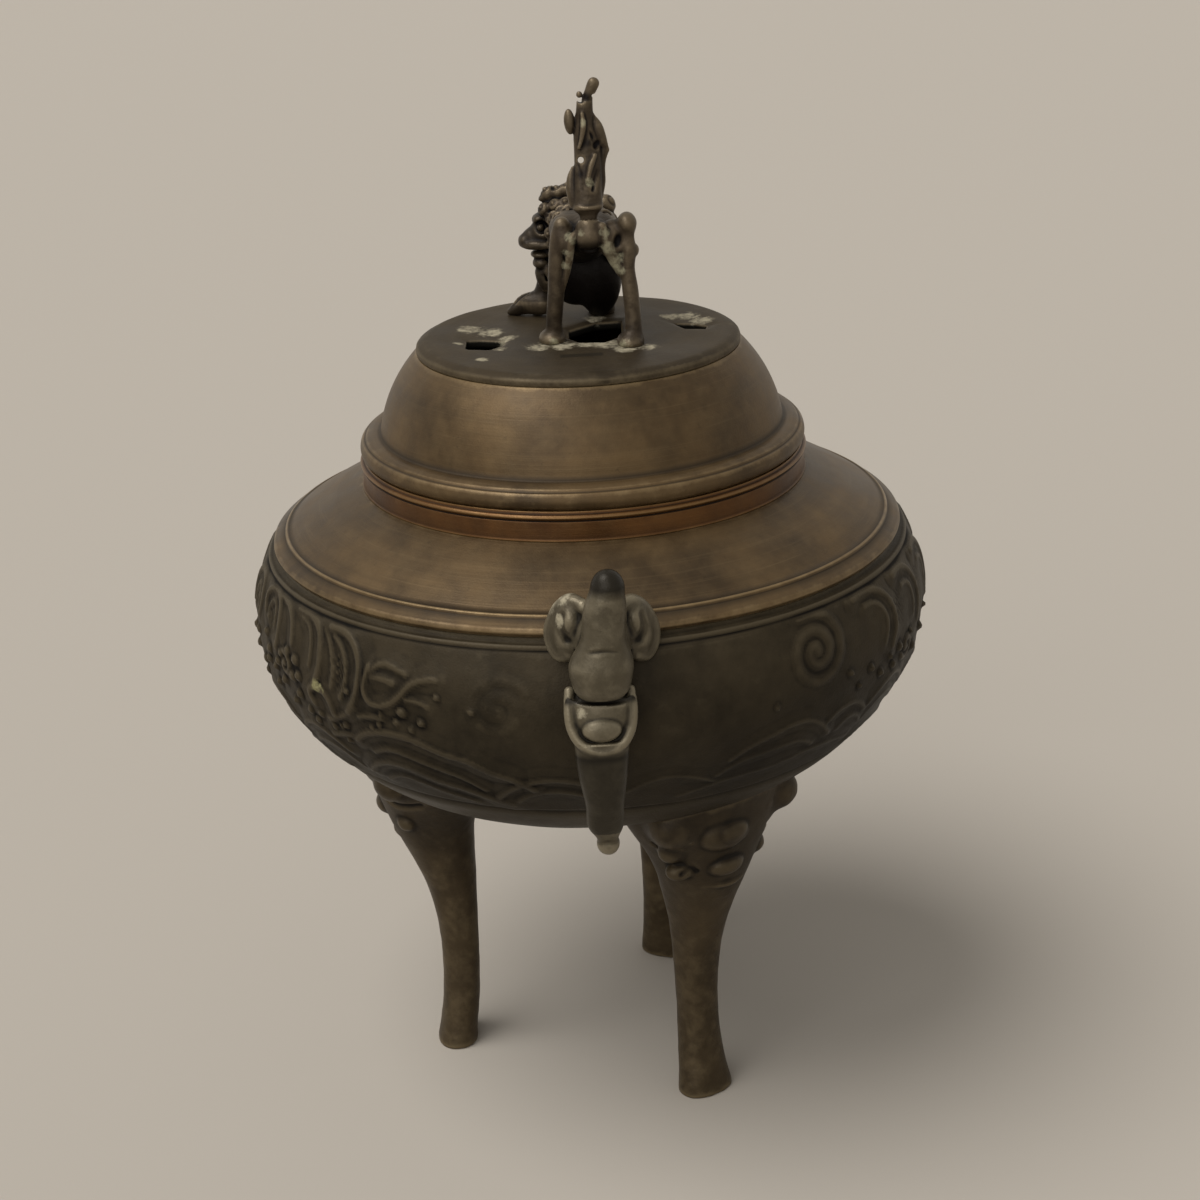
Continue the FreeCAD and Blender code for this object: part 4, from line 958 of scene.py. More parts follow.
    def cell_faces(self, inside, index, axis):
        """A quad of four cells about each edge along this axis that crosses the surface."""
        others = [k for k in range(3) if k != axis]
        size = inside.shape[axis]
        a = np.take(inside, range(size - 1), axis)
        b = np.take(inside, range(1, size), axis)
        cross = a != b
        for k in others:
            for end in (0, -1):
                edge = [slice(None)] * 3
                edge[k] = end
                cross[tuple(edge)] = False
        spots = np.argwhere(cross)
        back = np.zeros((4, 3), int)
        back[1, others[0]] = back[2, others[0]] = 1
        back[2, others[1]] = back[3, others[1]] = 1
        quad = np.stack([index[tuple((spots - step).T)] for step in back], 1)
        swap = a[cross] != (axis == 1)
        quad[swap] = quad[swap][:, ::-1]
        return quad

    def sample(self, points):
        """The distances at these points, between the grid's own."""
        place = (points - [axis[0] for axis in self.axes]) / self.cell
        base = np.clip(place.astype(int), 0, np.array(self.field.shape) - 2)
        share = place - base
        total = np.zeros(len(points))
        for i, j, k in CELL_CORNERS:
            weight = abs(1 - i - share[:, 0]) * abs(1 - j - share[:, 1]) * abs(1 - k - share[:, 2])
            total += weight * self.field[base[:, 0] + i, base[:, 1] + j, base[:, 2] + k]
        return total

    def pull(self, points):
        """Points moved back on to the surface."""
        value = self.sample(points)
        step = 0.5 * self.cell
        slope = np.stack([
            (self.sample(points + step * way) - self.sample(points - step * way)) / (2 * step)
            for way in np.eye(3)
        ], 1)
        steep = np.maximum((slope ** 2).sum(1), 0.1)
        move = slope * (value / steep)[:, None]
        length = np.linalg.norm(move, axis=1)[:, None]
        return points - move * np.minimum(1, self.cell / np.maximum(length, 1e-9))


def smooth_path(path, steps):
    """The path with this many points for each one given, through them all."""
    path = np.asarray(path, float)
    ends = np.vstack([2 * path[0] - path[1], path, 2 * path[-1] - path[-2]])
    ends[[0, -1], 3] = path[[0, -1], 3]
    result = []
    for a, b, c, d in zip(ends, ends[1:], ends[2:], ends[3:]):
        for i in range(steps):
            t = i / steps
            result.append(0.5 * (2 * b + (c - a) * t + (2 * a - 5 * b + 4 * c - d) * t ** 2
                                 + (3 * b - a - 3 * c + d) * t ** 3))
    return np.array(result + [path[-1]])


def outline_distance(outline, reach, low, high, step=0.25):
    """Distance from a turned solid's surface, negative inside, as a function of places."""
    radii = np.arange(0, reach + step, step)
    heights = np.arange(low, high + step, step)
    places = np.stack(np.meshgrid(radii, heights, indexing="ij"), -1)
    flat = polygon_distance(places.reshape(-1, 2), outline).reshape(len(radii), len(heights))

    def distance(grid):
        u = np.clip(np.hypot(grid[..., 0], grid[..., 1]) / step, 0, len(radii) - 1.001)
        v = np.clip((grid[..., 2] - low) / step, 0, len(heights) - 1.001)
        i, j = u.astype(int), v.astype(int)
        a, b = u - i, v - j
        return ((1 - a) * (1 - b) * flat[i, j] + a * (1 - b) * flat[i + 1, j]
                + (1 - a) * b * flat[i, j + 1] + a * b * flat[i + 1, j + 1])

    return distance


def polygon_distance(places, outline):
    """Distance of flat places from a closed outline, negative inside."""
    outline = np.asarray(outline, float)
    nearest = np.full(len(places), 1e9)
    inside = np.zeros(len(places), bool)
    for a, b in zip(outline, np.roll(outline, -1, axis=0)):
        along = b - a
        t = np.clip((places - a) @ along / max(along @ along, 1e-9), 0, 1)
        nearest = np.minimum(nearest, np.linalg.norm(places - a - t[:, None] * along, axis=1))
        if a[1] != b[1]:
            crossing = (a[1] > places[:, 1]) != (b[1] > places[:, 1])
            inside ^= crossing & (places[:, 0] < a[0] + (places[:, 1] - a[1]) * along[0] / along[1])
    return np.where(inside, -nearest, nearest)


def cast_finish(obj, seed, passes=8, depth=0.16, grain=0.07, keep=None):
    """Cast unevenness down to the grain's depth and not below the keep's height, then the marks of wear."""
    points = points_of(obj)
    uneven = 0.6 * wobble(points, 6.0, seed) + 0.4 * wobble(points, 2.2, seed + 1)
    points -= normals_of(obj) * (0.5 + 0.5 * uneven)[:, None] * grain
    if keep is not None:
        points[:, 2] = np.maximum(points[:, 2], keep)
    set_points(obj, points)
    mark_wear(obj, passes, depth)


def mark_spots(obj, name, spots):
    """Marks places near points given as (x, y, z, radius)."""
    points = points_of(obj)
    total = np.zeros(len(points))
    for x, y, z, size in spots:
        gap = np.linalg.norm(points - (x, y, z), axis=1)
        total = np.maximum(total, np.clip(1.5 - gap / size, 0, 1))
    set_mark(obj, name, total)


def make_copies(shape, places, slot, material):
    """Copies of a shape, turned about the axis by degrees, each in the place of the node that it names."""
    for name, degrees in places:
        obj = shape.copy()
        obj.data = shape.data.copy()
        obj.name = obj.data.name = name + "_cast"
        bpy.context.scene.collection.objects.link(obj)
        obj.data.transform(Matrix.Rotation(math.radians(degrees), 4, "Z"))
        finish_piece(obj, "vessel", slot, material, name)
    bpy.data.objects.remove(shape)


# Legs, in millimetres out from the axis, across and up, then turned into place
LEG_ANGLES = (("leg_front", -86.2), ("leg_back_right", 33.8), ("leg_back_left", 153.8))
LEG_SECTIONS = (
    (0.0, 29.5, 0.0, 3.80, 5.30),
    (0.7, 29.4, 0.0, 3.78, 5.25),
    (2.9, 29.1, 0.0, 3.60, 4.90),
    (7.0, 28.5, 0.0, 3.50, 4.35),
    (14.6, 27.9, 0.0, 3.50, 3.80),
    (25.4, 27.9, 0.0, 3.80, 4.10),
    (35.7, 28.9, 0.0, 5.05, 5.41),
    (42.4, 30.2, -0.2, 6.50, 7.20),
    (47.1, 31.0, -0.3, 7.70, 8.70),
    (52.1, 30.8, -0.3, 9.60, 10.90),
    (58.5, 29.8, 0.0, 12.60, 14.20),
    (66.1, 29.8, 0.0, 13.60, 14.90),
)


def make_leg_shape():
    clay = Clay((15.0, -18.0, -1.0), (47.0, 18.0, 68.0), cell=0.33)
    clay.stack(LEG_SECTIONS, power=2.25)
    # Big lobes at both sides, under the bowl
    clay.ball((37.8, 11.0, 60.2), (3.7, 4.1, 3.6), 1.6)
    clay.ball((36.6, -10.8, 59.8), (3.8, 4.2, 4.2), 2.4)
    # Large scroll, with a rim and an eye
    clay.ball((39.6, -2.6, 57.8), (3.6, 5.7, 3.9), 0.3)
    clay.ball((42.6, -2.2, 58.2), (0.9, 2.6, 1.5), 0.8)
    # Round lobe beside it and the leaf edge above
    clay.ball((39.6, 5.6, 60.4), (2.4, 2.5, 2.4), 0.3)
    clay.limb([(40.4, -8.2, 62.2, 0.3), (41.8, -5.4, 63.0, 0.45), (42.2, -1.6, 63.0, 0.45),
        (41.6, 2.6, 62.0, 0.4)], 0.7)
    # Lower scroll, a ball drawn out sideways
    clay.ball((38.5, -1.6, 50.5), (2.9, 3.8, 2.3), 0.3)
    # Swirl at its left, knobs at its right
    clay.ball((35.6, -8.6, 50.2), (2.1, 3.1, 1.9), 0.4)
    clay.limb([(37.3, -9.8, 50.2, 0.3), (37.9, -8.2, 50.9, 0.3), (37.7, -6.8, 50.0, 0.3)], 0.8, cut=True)
    clay.ball((35.8, 7.2, 50.4), (2.0, 2.2, 2.1), 0.3)
    clay.ball((37.0, 4.2, 51.6), (1.5, 1.5, 1.3), 0.3)
    clay.ball((35.6, -10.8, 54.2), (2.0, 2.2, 1.9), 1.2)
    # Leaf edges round the top of the shaft
    clay.limb([(31.5, -8.4, 47.4, 0.4), (35.0, -6.8, 46.9, 0.6), (37.3, -3.6, 46.2, 0.7),
        (37.9, 0.0, 45.6, 0.7), (36.8, 3.6, 45.9, 0.65), (34.0, 6.6, 47.2, 0.5)], 0.35)
    clay.limb([(32.0, -7.2, 44.6, 0.35), (34.7, -5.2, 43.9, 0.5), (36.1, -1.8, 42.9, 0.55),
        (35.8, 1.8, 42.6, 0.5), (33.9, 5.0, 43.9, 0.35)], 0.35)
    # Shallow hollows that part the shaft from the big lobes
    clay.limb([(33.4, 12.4, 55.4, 0.5), (37.6, 9.6, 54.7, 0.6), (39.6, 6.2, 56.0, 0.5)], 0.6, cut=True)
    clay.limb([(33.4, -12.6, 55.6, 0.5), (37.4, -10.6, 56.0, 0.6), (39.4, -9.4, 57.6, 0.4)], 0.5, cut=True)
    return clay


def make_legs():
    clay = make_leg_shape()
    clay.trim(lambda grid: belly_distance(grid) + 0.4, 0.15)
    shape = clay.skin("leg_shape")
    cast_finish(shape, 21, keep=0.0)
    # Painted shade: darker towards the top of each leg, under the bowl
    set_mark(shape, "dark_patina_and_shade", rise(points_of(shape)[:, 2], 40.0, 16.0, 0.5))
    make_copies(shape, LEG_ANGLES, "bronze_leg", leg_bronze)


# Handles: beast heads with a spoon-shaped snout, leaf ears, an open mouth and a hanging stem
HANDLE_ANGLES = (("handle_right", 0), ("handle_left", 180))
EAR_SHIFT = 0.25


def make_ear(clay, side, lift):
    """A leaf with a thick rim, an arc above and a lobe that hangs below, on one side of the head."""
    def place(*points):
        return [(x, side * y + EAR_SHIFT, z + lift, *radius) for x, y, z, *radius in points]

    clay.limb(place((60.2, 2.8, 109.8, 1.2), (58.8, 4.6, 110.0, 1.3), (57.6, 6.5, 108.4, 1.15),
        (56.9, 7.9, 105.4, 1.1), (56.9, 7.7, 102.6, 1.2), (57.6, 6.6, 101.0, 1.2), (58.8, 5.2, 101.8, 1.0)),
        0.9)
    clay.ball(*place((57.8, 4.8, 105.6)), (2.9, 3.2, 5.4), 0.9, (side * 7, 0, side * 14))
    clay.ball(*place((59.2, 4.9, 107.6)), (2.2, 1.9, 2.4), 0.8)
    clay.limb(place((60.6, 6.3, 108.6, 0.3), (60.6, 6.6, 106.4, 0.4), (60.4, 5.6, 104.4, 0.4)), 1.1, cut=True)
    clay.limb(place((60.8, 4.2, 102.6, 0.4), (60.5, 4.6, 100.8, 0.5), (60.1, 5.0, 99.4, 0.4)), 0.5, cut=True)


def make_handles():
    clay = Clay((52.0, -12.0, 66.5), (70.0, 12.0, 120.0), cell=0.27)
    # Head behind the snout, and its ears
    clay.ball((59.6, 0.2, 104.0), (5.2, 4.6, 6.6), 0.8)
    clay.ball((61.2, -0.3, 94.0), (4.4, 4.3, 6.6), 0.8)
    for side, lift in ((1, -0.6), (-1, 0.0)):
        make_ear(clay, side, lift)
    # Snout, its rounded cap and the lip that flares over the mouth
    clay.stack([(96.6, 64.6, -0.4, 2.4, 3.3), (97.9, 64.8, -0.4, 3.1, 4.2), (99.8, 64.9, -0.4, 3.5, 4.75),
        (102.2, 64.8, -0.3, 3.6, 4.95), (104.2, 64.5, 0.0, 3.45, 4.2), (105.8, 64.4, 0.2, 3.3, 3.6),
        (108.5, 64.4, 0.4, 3.1, 3.4), (111.5, 64.4, 0.7, 2.8, 3.2), (113.2, 64.3, 0.95, 2.6, 2.8),
        (114.8, 64.2, 1.15, 2.2, 2.3)], 0.35, power=2.3)
    clay.ball((64.2, 1.15, 114.3), (2.5, 2.55, 2.75), 0.5)
    clay.limb([(67.4, -2.6, 104.9, 0.25), (67.9, 0.2, 105.2, 0.3), (67.5, 3.0, 104.8, 0.25)], 0.3, cut=True)
    # Jaw: a cup with a rim, the tongue's tip inside
    clay.ball((62.6, -0.7, 92.6), (4.1, 5.4, 5.6), 0.5)
    clay.stack([(88.4, 62.6, -0.7, 3.0, 3.2), (90.4, 62.8, -0.7, 3.5, 4.3), (93.0, 62.7, -0.7, 3.7, 4.9),
        (96.2, 62.4, -0.7, 3.5, 4.9)], 0.4, power=3.2)
    clay.limb([(63.4, -5.4, 97.2, 0.8), (64.6, -5.6, 94.8, 0.85), (65.3, -5.4, 92.0, 0.85),
        (66.0, -4.3, 89.8, 0.85), (66.5, -2.6, 88.6, 0.85), (66.7, -0.6, 88.2, 0.85), (66.5, 1.4, 88.6, 0.85),
        (66.0, 2.9, 89.7, 0.85), (65.3, 3.9, 91.8, 0.85), (64.6, 4.2, 94.6, 0.85), (63.4, 4.0, 97.0, 0.8)],
        0.6)
    clay.ball((67.6, -0.7, 91.4), (1.3, 3.4, 2.6), 0.5, cut=True)
    clay.ball((66.2, -0.7, 91.7), (1.6, 3.1, 2.0), 0.15)
    clay.limb([(67.0, -3.3, 90.6, 0.3), (67.2, -2.0, 89.6, 0.4), (67.4, -0.4, 89.3, 0.4),
        (67.3, 1.0, 89.6, 0.4), (67.0, 2.0, 90.4, 0.3)], 0.15, cut=True)
    # Mouth: the gap under the lip
    clay.limb([(66.9, -5.0, 96.4, 0.45), (67.8, -3.0, 96.2, 0.6), (68.4, -0.4, 96.1, 0.65),
        (67.8, 2.2, 96.0, 0.7), (66.9, 4.2, 96.0, 0.5)], 0.15, cut=True)
    clay.limb([(65.4, -4.6, 96.4, 0.45), (65.6, -0.4, 96.2, 0.65), (65.4, 3.9, 96.0, 0.5)], 0.15, cut=True)
    # Stem and the ball at its end
    clay.stack([(70.6, 61.7, -0.45, 1.5, 1.6), (71.6, 61.8, -0.5, 1.8, 1.9), (72.9, 62.1, -0.65, 2.1, 2.6),
        (76.8, 63.0, -0.7, 2.55, 3.0), (80.9, 63.7, -0.75, 2.9, 3.5), (85.7, 64.1, -0.8, 3.1, 4.1),
        (89.6, 64.0, -0.7, 3.2, 4.3)], 0.3, power=2.7)
    clay.ball((61.7, -0.4, 70.1), (1.95, 1.85, 1.95), 0.12)
    clay.trim(lambda grid: vessel_distance(grid) + 0.3, 0.15)
    shape = clay.skin("handle_shape")
    cast_finish(shape, 31, depth=0.15, grain=0.05)
    mark_spots(shape, "residue", ((58.2, -5.6, 111.0, 1.5), (57.0, -8.0, 109.0, 1.6),
        (59.8, -6.4, 107.4, 1.0), (66.4, -3.6, 94.6, 1.0), (58.6, 4.2, 105.6, 0.8), (57.2, 7.4, 107.6, 0.8)))
    # A darker cap on the snout and darker down the stem; painted shadow in a band just under the jaw's rim,
    # painted shade in the mouth's gap
    x, _, z = points_of(shape).T
    stem = rise(z, 88.2, -1.6, 0.78) * (z > 72.6) + 0.3 * np.clip(1 - abs(z - 87.2) / 1.2, 0, 1)
    throat = np.clip(1.6 - abs(z - 96.3) / 0.6, 0, 1) * (x < 67.2) * (x > 64.6)
    set_mark(shape, "dark_patina_and_shade", np.maximum.reduce([rise(z, 112.8, 1.6), stem, throat]))
    make_copies(shape, HANDLE_ANGLES, "bronze_handle", handle_bronze)


# Lid's top plate with its cloud-shaped smoke holes: each a slot, the dished bevel about it
SMOKE_HOLES = (
    (((0.2, -19.2), (6.2, -19.4), (8.5, -15.6), (6.6, -13.0), (2.0, -12.5), (1.0, -14.7), (0.2, -16.8)),
     ((-1.9, -22.0), (-8.6, -21.1), (-10.9, -17.6), (-7.1, -13.7), (0.3, -11.3), (4.9, -11.8), (8.9, -15.1),
      (8.1, -19.2), (3.8, -21.6))),
    (((-4.3, 17.0), (-2.6, 17.6), (1.0, 18.9), (1.8, 21.8), (-1.4, 22.4), (-3.4, 20.3)),
     ((-5.8, 14.1), (-11.9, 16.9), (-14.0, 20.9), (-8.1, 24.0), (-1.1, 25.4), (2.4, 22.6), (1.6, 18.4))),
    (((2.3, -1.6), (-2.5, -1.5), (-7.4, 3.3), (-7.5, 7.8), (2.3, 7.5), (6.3, 4.0), (5.6, 0.4)),
     ((3.3, -3.0), (-3.6, -2.9), (-9.4, 2.7), (-9.0, 9.2), (3.4, 9.0), (8.1, 4.6), (7.2, -0.4))),
)


PLATE_DISH = 0.5
PLATE_EDGE = 1.9
PLATE_DROP = 0.9


def make_plate():
    reach = PLATE_RADIUS + 1
    clay = Clay((-reach, -reach, DOME_TOP - 0.9), (reach, reach, PLATE_TOP + 0.9), cell=0.3)
    grid = clay.whole()[1]
    flat = grid[:, :, 0, :2]
    radius = np.hypot(flat[..., 0], flat[..., 1])
    edge = np.clip((radius - PLATE_RADIUS + PLATE_EDGE) / PLATE_EDGE, 0, 1)
    top = PLATE_TOP - PLATE_DROP * edge ** 2
    walls = np.full(radius.shape, FAR)
    for slot, dish in SMOKE_HOLES:
        slot_gap = polygon_distance(flat.reshape(-1, 2), slot).reshape(radius.shape)
        dish_gap = polygon_distance(flat.reshape(-1, 2), dish).reshape(radius.shape)
        share = np.clip(-dish_gap / (np.maximum(slot_gap, 0) - dish_gap + 0.4), 0, 1)
        slope = share * share * (3 - 2 * share)
        top = np.minimum(top, PLATE_TOP - PLATE_DISH * slope * (dish_gap < 0))
        walls = np.minimum(walls, slot_gap)
    z = grid[..., 2]
    solid = np.maximum(z - top[:, :, None], DOME_TOP - z)
    solid = np.maximum(solid, (radius - PLATE_RADIUS)[:, :, None])
    clay.field = np.maximum(solid, -walls[:, :, None])
    obj = clay.skin("plate_pierced")
    points = points_of(obj)
    points[:, 2] = np.clip(points[:, 2], DOME_TOP, PLATE_TOP)
    uneven = 0.5 + 0.5 * wobble(points, 8.0, 41)
    points[:, 2] -= 0.06 * uneven * (points[:, 2] > PLATE_TOP - PLATE_DISH)
    set_points(obj, points)
    mark_wear(obj, 6, 0.2)
    mark_spots(obj, "residue", ((-6.1, -18.6, 136.6, 2.6), (-3.4, -14.9, 136.6, 2.4),
        (1.0, -12.2, 136.9, 1.8), (14.5, -16.5, 137.1, 1.2), (8.6, -13.4, 137.1, 1.2),
        (2.4, -20.6, 137.1, 1.0), (-8.2, 16.8, 136.8, 1.9), (-8.3, 19.5, 136.6, 2.2),
        (-4.9, 21.9, 136.6, 2.2), (8.2, -6.8, 137.1, 2.4), (8.4, -3.0, 137.1, 2.6), (7.9, 1.6, 136.9, 2.4),
        (9.0, 4.4, 137.1, 2.8), (12.4, 7.4, 137.1, 2.2), (4.1, 8.0, 136.9, 1.6), (-9.4, 3.4, 137.0, 1.8),
        (12.2, 11.2, 137.1, 1.8)))
    # Painted shade on the lowest part of the dish about each slot, and a short darker line across the plate
    # at x 15.2
    gap = np.minimum.reduce([polygon_distance(points[:, :2], slot) for slot, _ in SMOKE_HOLES])
    depth = rise(points[:, 2], PLATE_TOP - PLATE_DISH, -0.25)
    streak = np.clip(1.5 - abs(points[:, 0] - 15.2) / 0.8, 0, 0.6) * (abs(points[:, 1]) < 3.6)
    set_mark(obj, "dark_patina_and_shade", np.maximum(depth * (gap < 0.4), streak))
    finish_piece(obj, "lid", "bronze_plate", plate_bronze, "lid_top_plate")


# Lion on the lid, its rump to the right handle and its head turned to the front, and its tail
MANE_CURLS = ((-9.4, -3.7, 159.5, 1.45), (-9.2, -4.9, 158.9, 0.75), (-8.8, -2.0, 159.8, 1.25),
    (-8.8, -0.3, 160.2, 1.40), (-9.4, 1.7, 159.7, 1.6), (-8.4, 3.7, 158.7, 1.6), (-7.0, 6.0, 157.6, 1.8),
    (-6.4, 6.5, 154.8, 1.6), (-6.6, 5.4, 152.0, 1.6), (-8.2, 6.6, 149.2, 1.7), (-7.4, -4.6, 157.2, 1.25),
    (-6.6, -2.7, 158.0, 1.15), (-6.1, -0.8, 158.2, 1.3), (-5.8, 1.4, 158.0, 1.4), (-5.6, 3.6, 157.2, 1.4),
    (-6.2, -3.6, 155.8, 1.0), (-5.4, -1.6, 155.9, 1.3), (-12.2, -2.6, 159.0, 1.5), (-12.4, 0.2, 159.4, 1.6),
    (-12.2, 3.0, 158.4, 1.7), (-14.0, -1.4, 156.6, 1.6), (-14.2, 1.6, 156.6, 1.7), (-14.6, 0.0, 153.8, 1.7),
    (-14.2, 3.2, 153.6, 1.7), (-13.4, 4.6, 156.0, 1.6), (-10.6, 5.4, 157.4, 1.7), (-13.8, 5.0, 150.8, 1.7),
    (-11.2, 6.4, 153.8, 1.7), (-14.8, 1.8, 150.8, 1.7), (-14.4, -2.6, 151.0, 1.6), (-13.6, 3.4, 147.6, 1.6),
    (-14.6, 0.2, 147.8, 1.6), (-13.2, -4.0, 154.6, 1.3), (-11.0, 6.4, 150.4, 1.6), (-4.6, 0.6, 156.8, 1.3),
    (-4.2, 2.8, 156.8, 1.4), (-3.6, -1.6, 157.4, 1.3), (-3.2, 4.8, 156.6, 1.4), (-4.4, -3.2, 155.8, 1.1),
    (-2.4, -3.0, 157.0, 1.0), (-1.4, -0.6, 158.0, 1.2), (-1.2, 1.6, 158.2, 1.2), (-1.6, 3.8, 157.8, 1.2),
    (-4.6, 6.2, 155.2, 1.4), (-2.2, 6.4, 156.0, 1.2), (-4.8, -3.8, 153.6, 1.1), (-5.0, -3.4, 151.6, 1.2),
    (0.8, -2.4, 157.4, 1.0), (1.2, 5.4, 157.4, 1.1), (-5.6, -3.2, 149.6, 1.2), (-6.4, -3.4, 147.6, 1.1),
    (-7.2, -3.6, 145.2, 1.1),)
HEAD_CENTRE = (-10.0, 0.6, 154.0)


def loop(centre, outward, size, width, count=9):
    """A closed round path about a direction."""
    outward = np.array(outward, float)
    outward /= np.linalg.norm(outward)
    side = np.cross(outward, (0.3, 0.2, 0.93))
    side /= np.linalg.norm(side)
    other = np.cross(outward, side)
    path = []
    for i in range(count + 1):
        angle = 2 * math.pi * i / count
        place = np.array(centre) + size * (math.cos(angle) * side + math.sin(angle) * other)
        path.append((*place, width))
    return path


def make_lion():
    clay = Clay((-20.0, -13.5, PLATE_TOP - 1.0), (14.0, 13.0, 164.0), cell=0.26)
    # Trunk
    clay.limb([(9.0, 2.6, 155.6, 2.2), (5.0, 2.5, 155.0, 3.4), (0.0, 2.0, 154.2, 4.5),
        (-5.0, 1.2, 153.2, 5.0), (-10.0, 0.4, 152.4, 4.4)], 0.8)
    clay.limb([(8.8, 2.4, 157.4, 1.9), (9.0, 2.35, 155.6, 1.7), (8.4, 2.3, 154.2, 1.3)], 1.4)
    clay.ball((-12.0, 0.4, 146.2), (3.7, 5.4, 7.2), 0.8)
    clay.ball((-10.6, 4.3, 145.2), (3.4, 4.3, 8.0), 1.2)
    clay.ball((1.0, -1.4, 155.2), (6.5, 2.7, 3.2), 1.2)
    clay.ball((0.5, 5.2, 155.0), (6.0, 2.6, 3.2), 1.2)
    # Hind legs
    clay.limb([(6.6, -2.0, 157.2, 1.5), (6.6, -2.6, 154.8, 1.6), (6.3, -3.1, 150.2, 1.5),
        (6.0, -3.5, 145.6, 1.45), (5.6, -4.0, 141.0, 1.4), (5.3, -4.1, 138.4, 1.6), (5.2, -4.2, 137.3, 1.9)],
        0.6)
    clay.limb([(8.6, 8.8, 157.4, 1.55), (8.8, 8.9, 155.3, 1.1), (8.9, 8.9, 153.0, 1.3),
        (8.8, 8.6, 150.0, 1.25), (8.9, 8.9, 146.5, 1.4), (9.2, 9.2, 142.4, 1.35), (9.5, 9.2, 139.4, 1.5),
        (9.7, 8.8, 137.3, 2.1)], 0.5)
    clay.ball((8.2, 8.8, 157.5), (2.2, 1.6, 1.8), 0.4)
    clay.ball((8.4, 9.9, 152.9), (1.0, 0.8, 1.1), 0.3)
    clay.ball((7.4, 6.4, 154.6), (2.9, 2.6, 3.4), 0.8)
    clay.ball((6.2, -1.4, 154.6), (2.6, 1.9, 2.8), 0.7)
    # Edges of the haunches and the hollows inside them
    clay.limb([(9.0, 0.9, 156.4, 0.7), (8.9, -0.4, 155.4, 0.75), (8.3, -0.9, 152.6, 0.7),
        (7.4, -1.5, 149.4, 0.6), (6.6, -2.4, 146.4, 0.5)], 0.4)
    clay.limb([(9.8, 4.6, 157.3, 0.8), (9.7, 5.2, 154.6, 0.95), (9.0, 6.3, 151.9, 1.1),
        (8.6, 7.6, 149.4, 1.0)], 0.5)
    clay.ball((10.7, 7.2, 154.9), (1.5, 0.8, 1.5), 0.5, (-12, 0, 0), cut=True)
    # Forelegs
    clay.limb([(-10.4, -3.2, 150.0, 2.5), (-11.8, -4.2, 146.4, 2.0), (-13.2, -5.0, 142.8, 1.6),
        (-13.8, -5.8, 139.6, 1.9)], 0.6)
    clay.limb([(-9.0, 2.6, 152.4, 2.8), (-10.8, 3.6, 148.4, 2.4), (-12.1, 4.2, 143.6, 2.0),
        (-13.0, 4.6, 139.4, 2.0), (-13.4, 4.7, 137.4, 2.2)], 0.7)
    clay.ball((-14.3, 4.8, 137.8), (3.1, 2.4, 2.2), 0.6)
    clay.limb([(-13.4, -5.8, 139.4, 2.2), (-14.0, -8.4, 139.2, 1.9), (-14.5, -10.3, 138.2, 1.2),
        (-14.8, -11.4, 137.7, 0.7)], 0.5)
    for x, y in ((-13.6, -9.8), (-15.3, -9.9)):
        clay.limb([(x, y + 1.6, 141.0, 0.35), (x, y, 140.2, 0.35), (x - 0.1, y - 1.6, 139.0, 0.3)], 0.2,
            cut=True)
    clay.ball((4.9, -4.6, 137.6), (2.9, 2.2, 1.7), 0.5)
    clay.ball((9.4, 8.6, 137.6), (3.0, 2.3, 1.7), 0.5)
    # Head: skull, cheeks, brow, the eye in its ring
    clay.ball((-10.0, -1.6, 155.2), (4.0, 4.2, 4.4), 0.6)
    clay.ball((-9.9, -4.6, 153.2), (3.0, 2.5, 2.4), 0.5)
    clay.ball((-9.4, -5.7, 155.3), (2.1, 1.2, 0.95), 0.3, (20, 0, 0))
    clay.ball((-7.4, -5.3, 154.1), (1.1, 1.3, 1.2), 0.25, cut=True)
    clay.ball((-7.9, -5.4, 154.0), (0.8, 0.65, 0.65), 0.12)
    clay.ball((-12.4, -5.4, 154.0), (1.0, 1.2, 1.1), 0.25, cut=True)
    clay.ball((-12.0, -5.4, 154.0), (0.8, 0.65, 0.65), 0.12)
    # Upper jaw with a rolled lip, cheek hollow, lower jaw and beard
    clay.limb([(-9.8, -4.4, 152.3, 2.2), (-9.9, -6.6, 152.0, 1.9), (-10.0, -8.0, 151.4, 1.2)], 0.5)
    clay.ball((-9.9, -8.3, 151.6), (1.6, 1.1, 1.0), 0.4)
    clay.ball((-9.8, -5.8, 151.2), (3.0, 2.8, 0.9), 0.5)
    clay.limb([(-7.3, -3.2, 151.1, 0.6), (-7.2, -5.0, 150.9, 0.65), (-7.9, -7.2, 150.8, 0.65),
        (-9.3, -8.6, 150.9, 0.6), (-10.7, -8.6, 150.9, 0.6), (-12.1, -7.2, 150.8, 0.65),
        (-12.8, -5.0, 150.9, 0.6)], 0.3)
    clay.limb([(-6.4, -3.4, 152.6, 0.4), (-6.5, -4.8, 152.0, 0.35), (-6.9, -6.4, 152.1, 0.3)], 0.25, cut=True)
    clay.ball((-6.9, -3.4, 153.1), (1.0, 0.8, 0.6), 0.2, cut=True)
    clay.limb([(-9.4, -3.2, 150.8, 2.1), (-9.6, -3.0, 148.0, 2.1), (-10.6, -2.8, 145.0, 2.4)], 0.6)
    clay.ball((-9.4, -5.6, 149.1), (2.3, 1.8, 0.8), 0.25)
    clay.ball((-9.2, -5.5, 147.6), (2.0, 1.6, 1.2), 0.2)
    clay.ball((-8.2, -4.2, 146.4), (1.4, 1.2, 1.3), 0.2)
    clay.limb([(-9.4, -5.3, 145.8, 1.5), (-9.4, -5.0, 144.4, 1.5), (-9.4, -4.9, 143.0, 0.9)], 0.25)
    clay.limb([(-8.6, -4.2, 149.6, 0.35), (-8.2, -4.8, 147.2, 0.4), (-8.2, -4.6, 144.8, 0.4)], 0.25, cut=True)
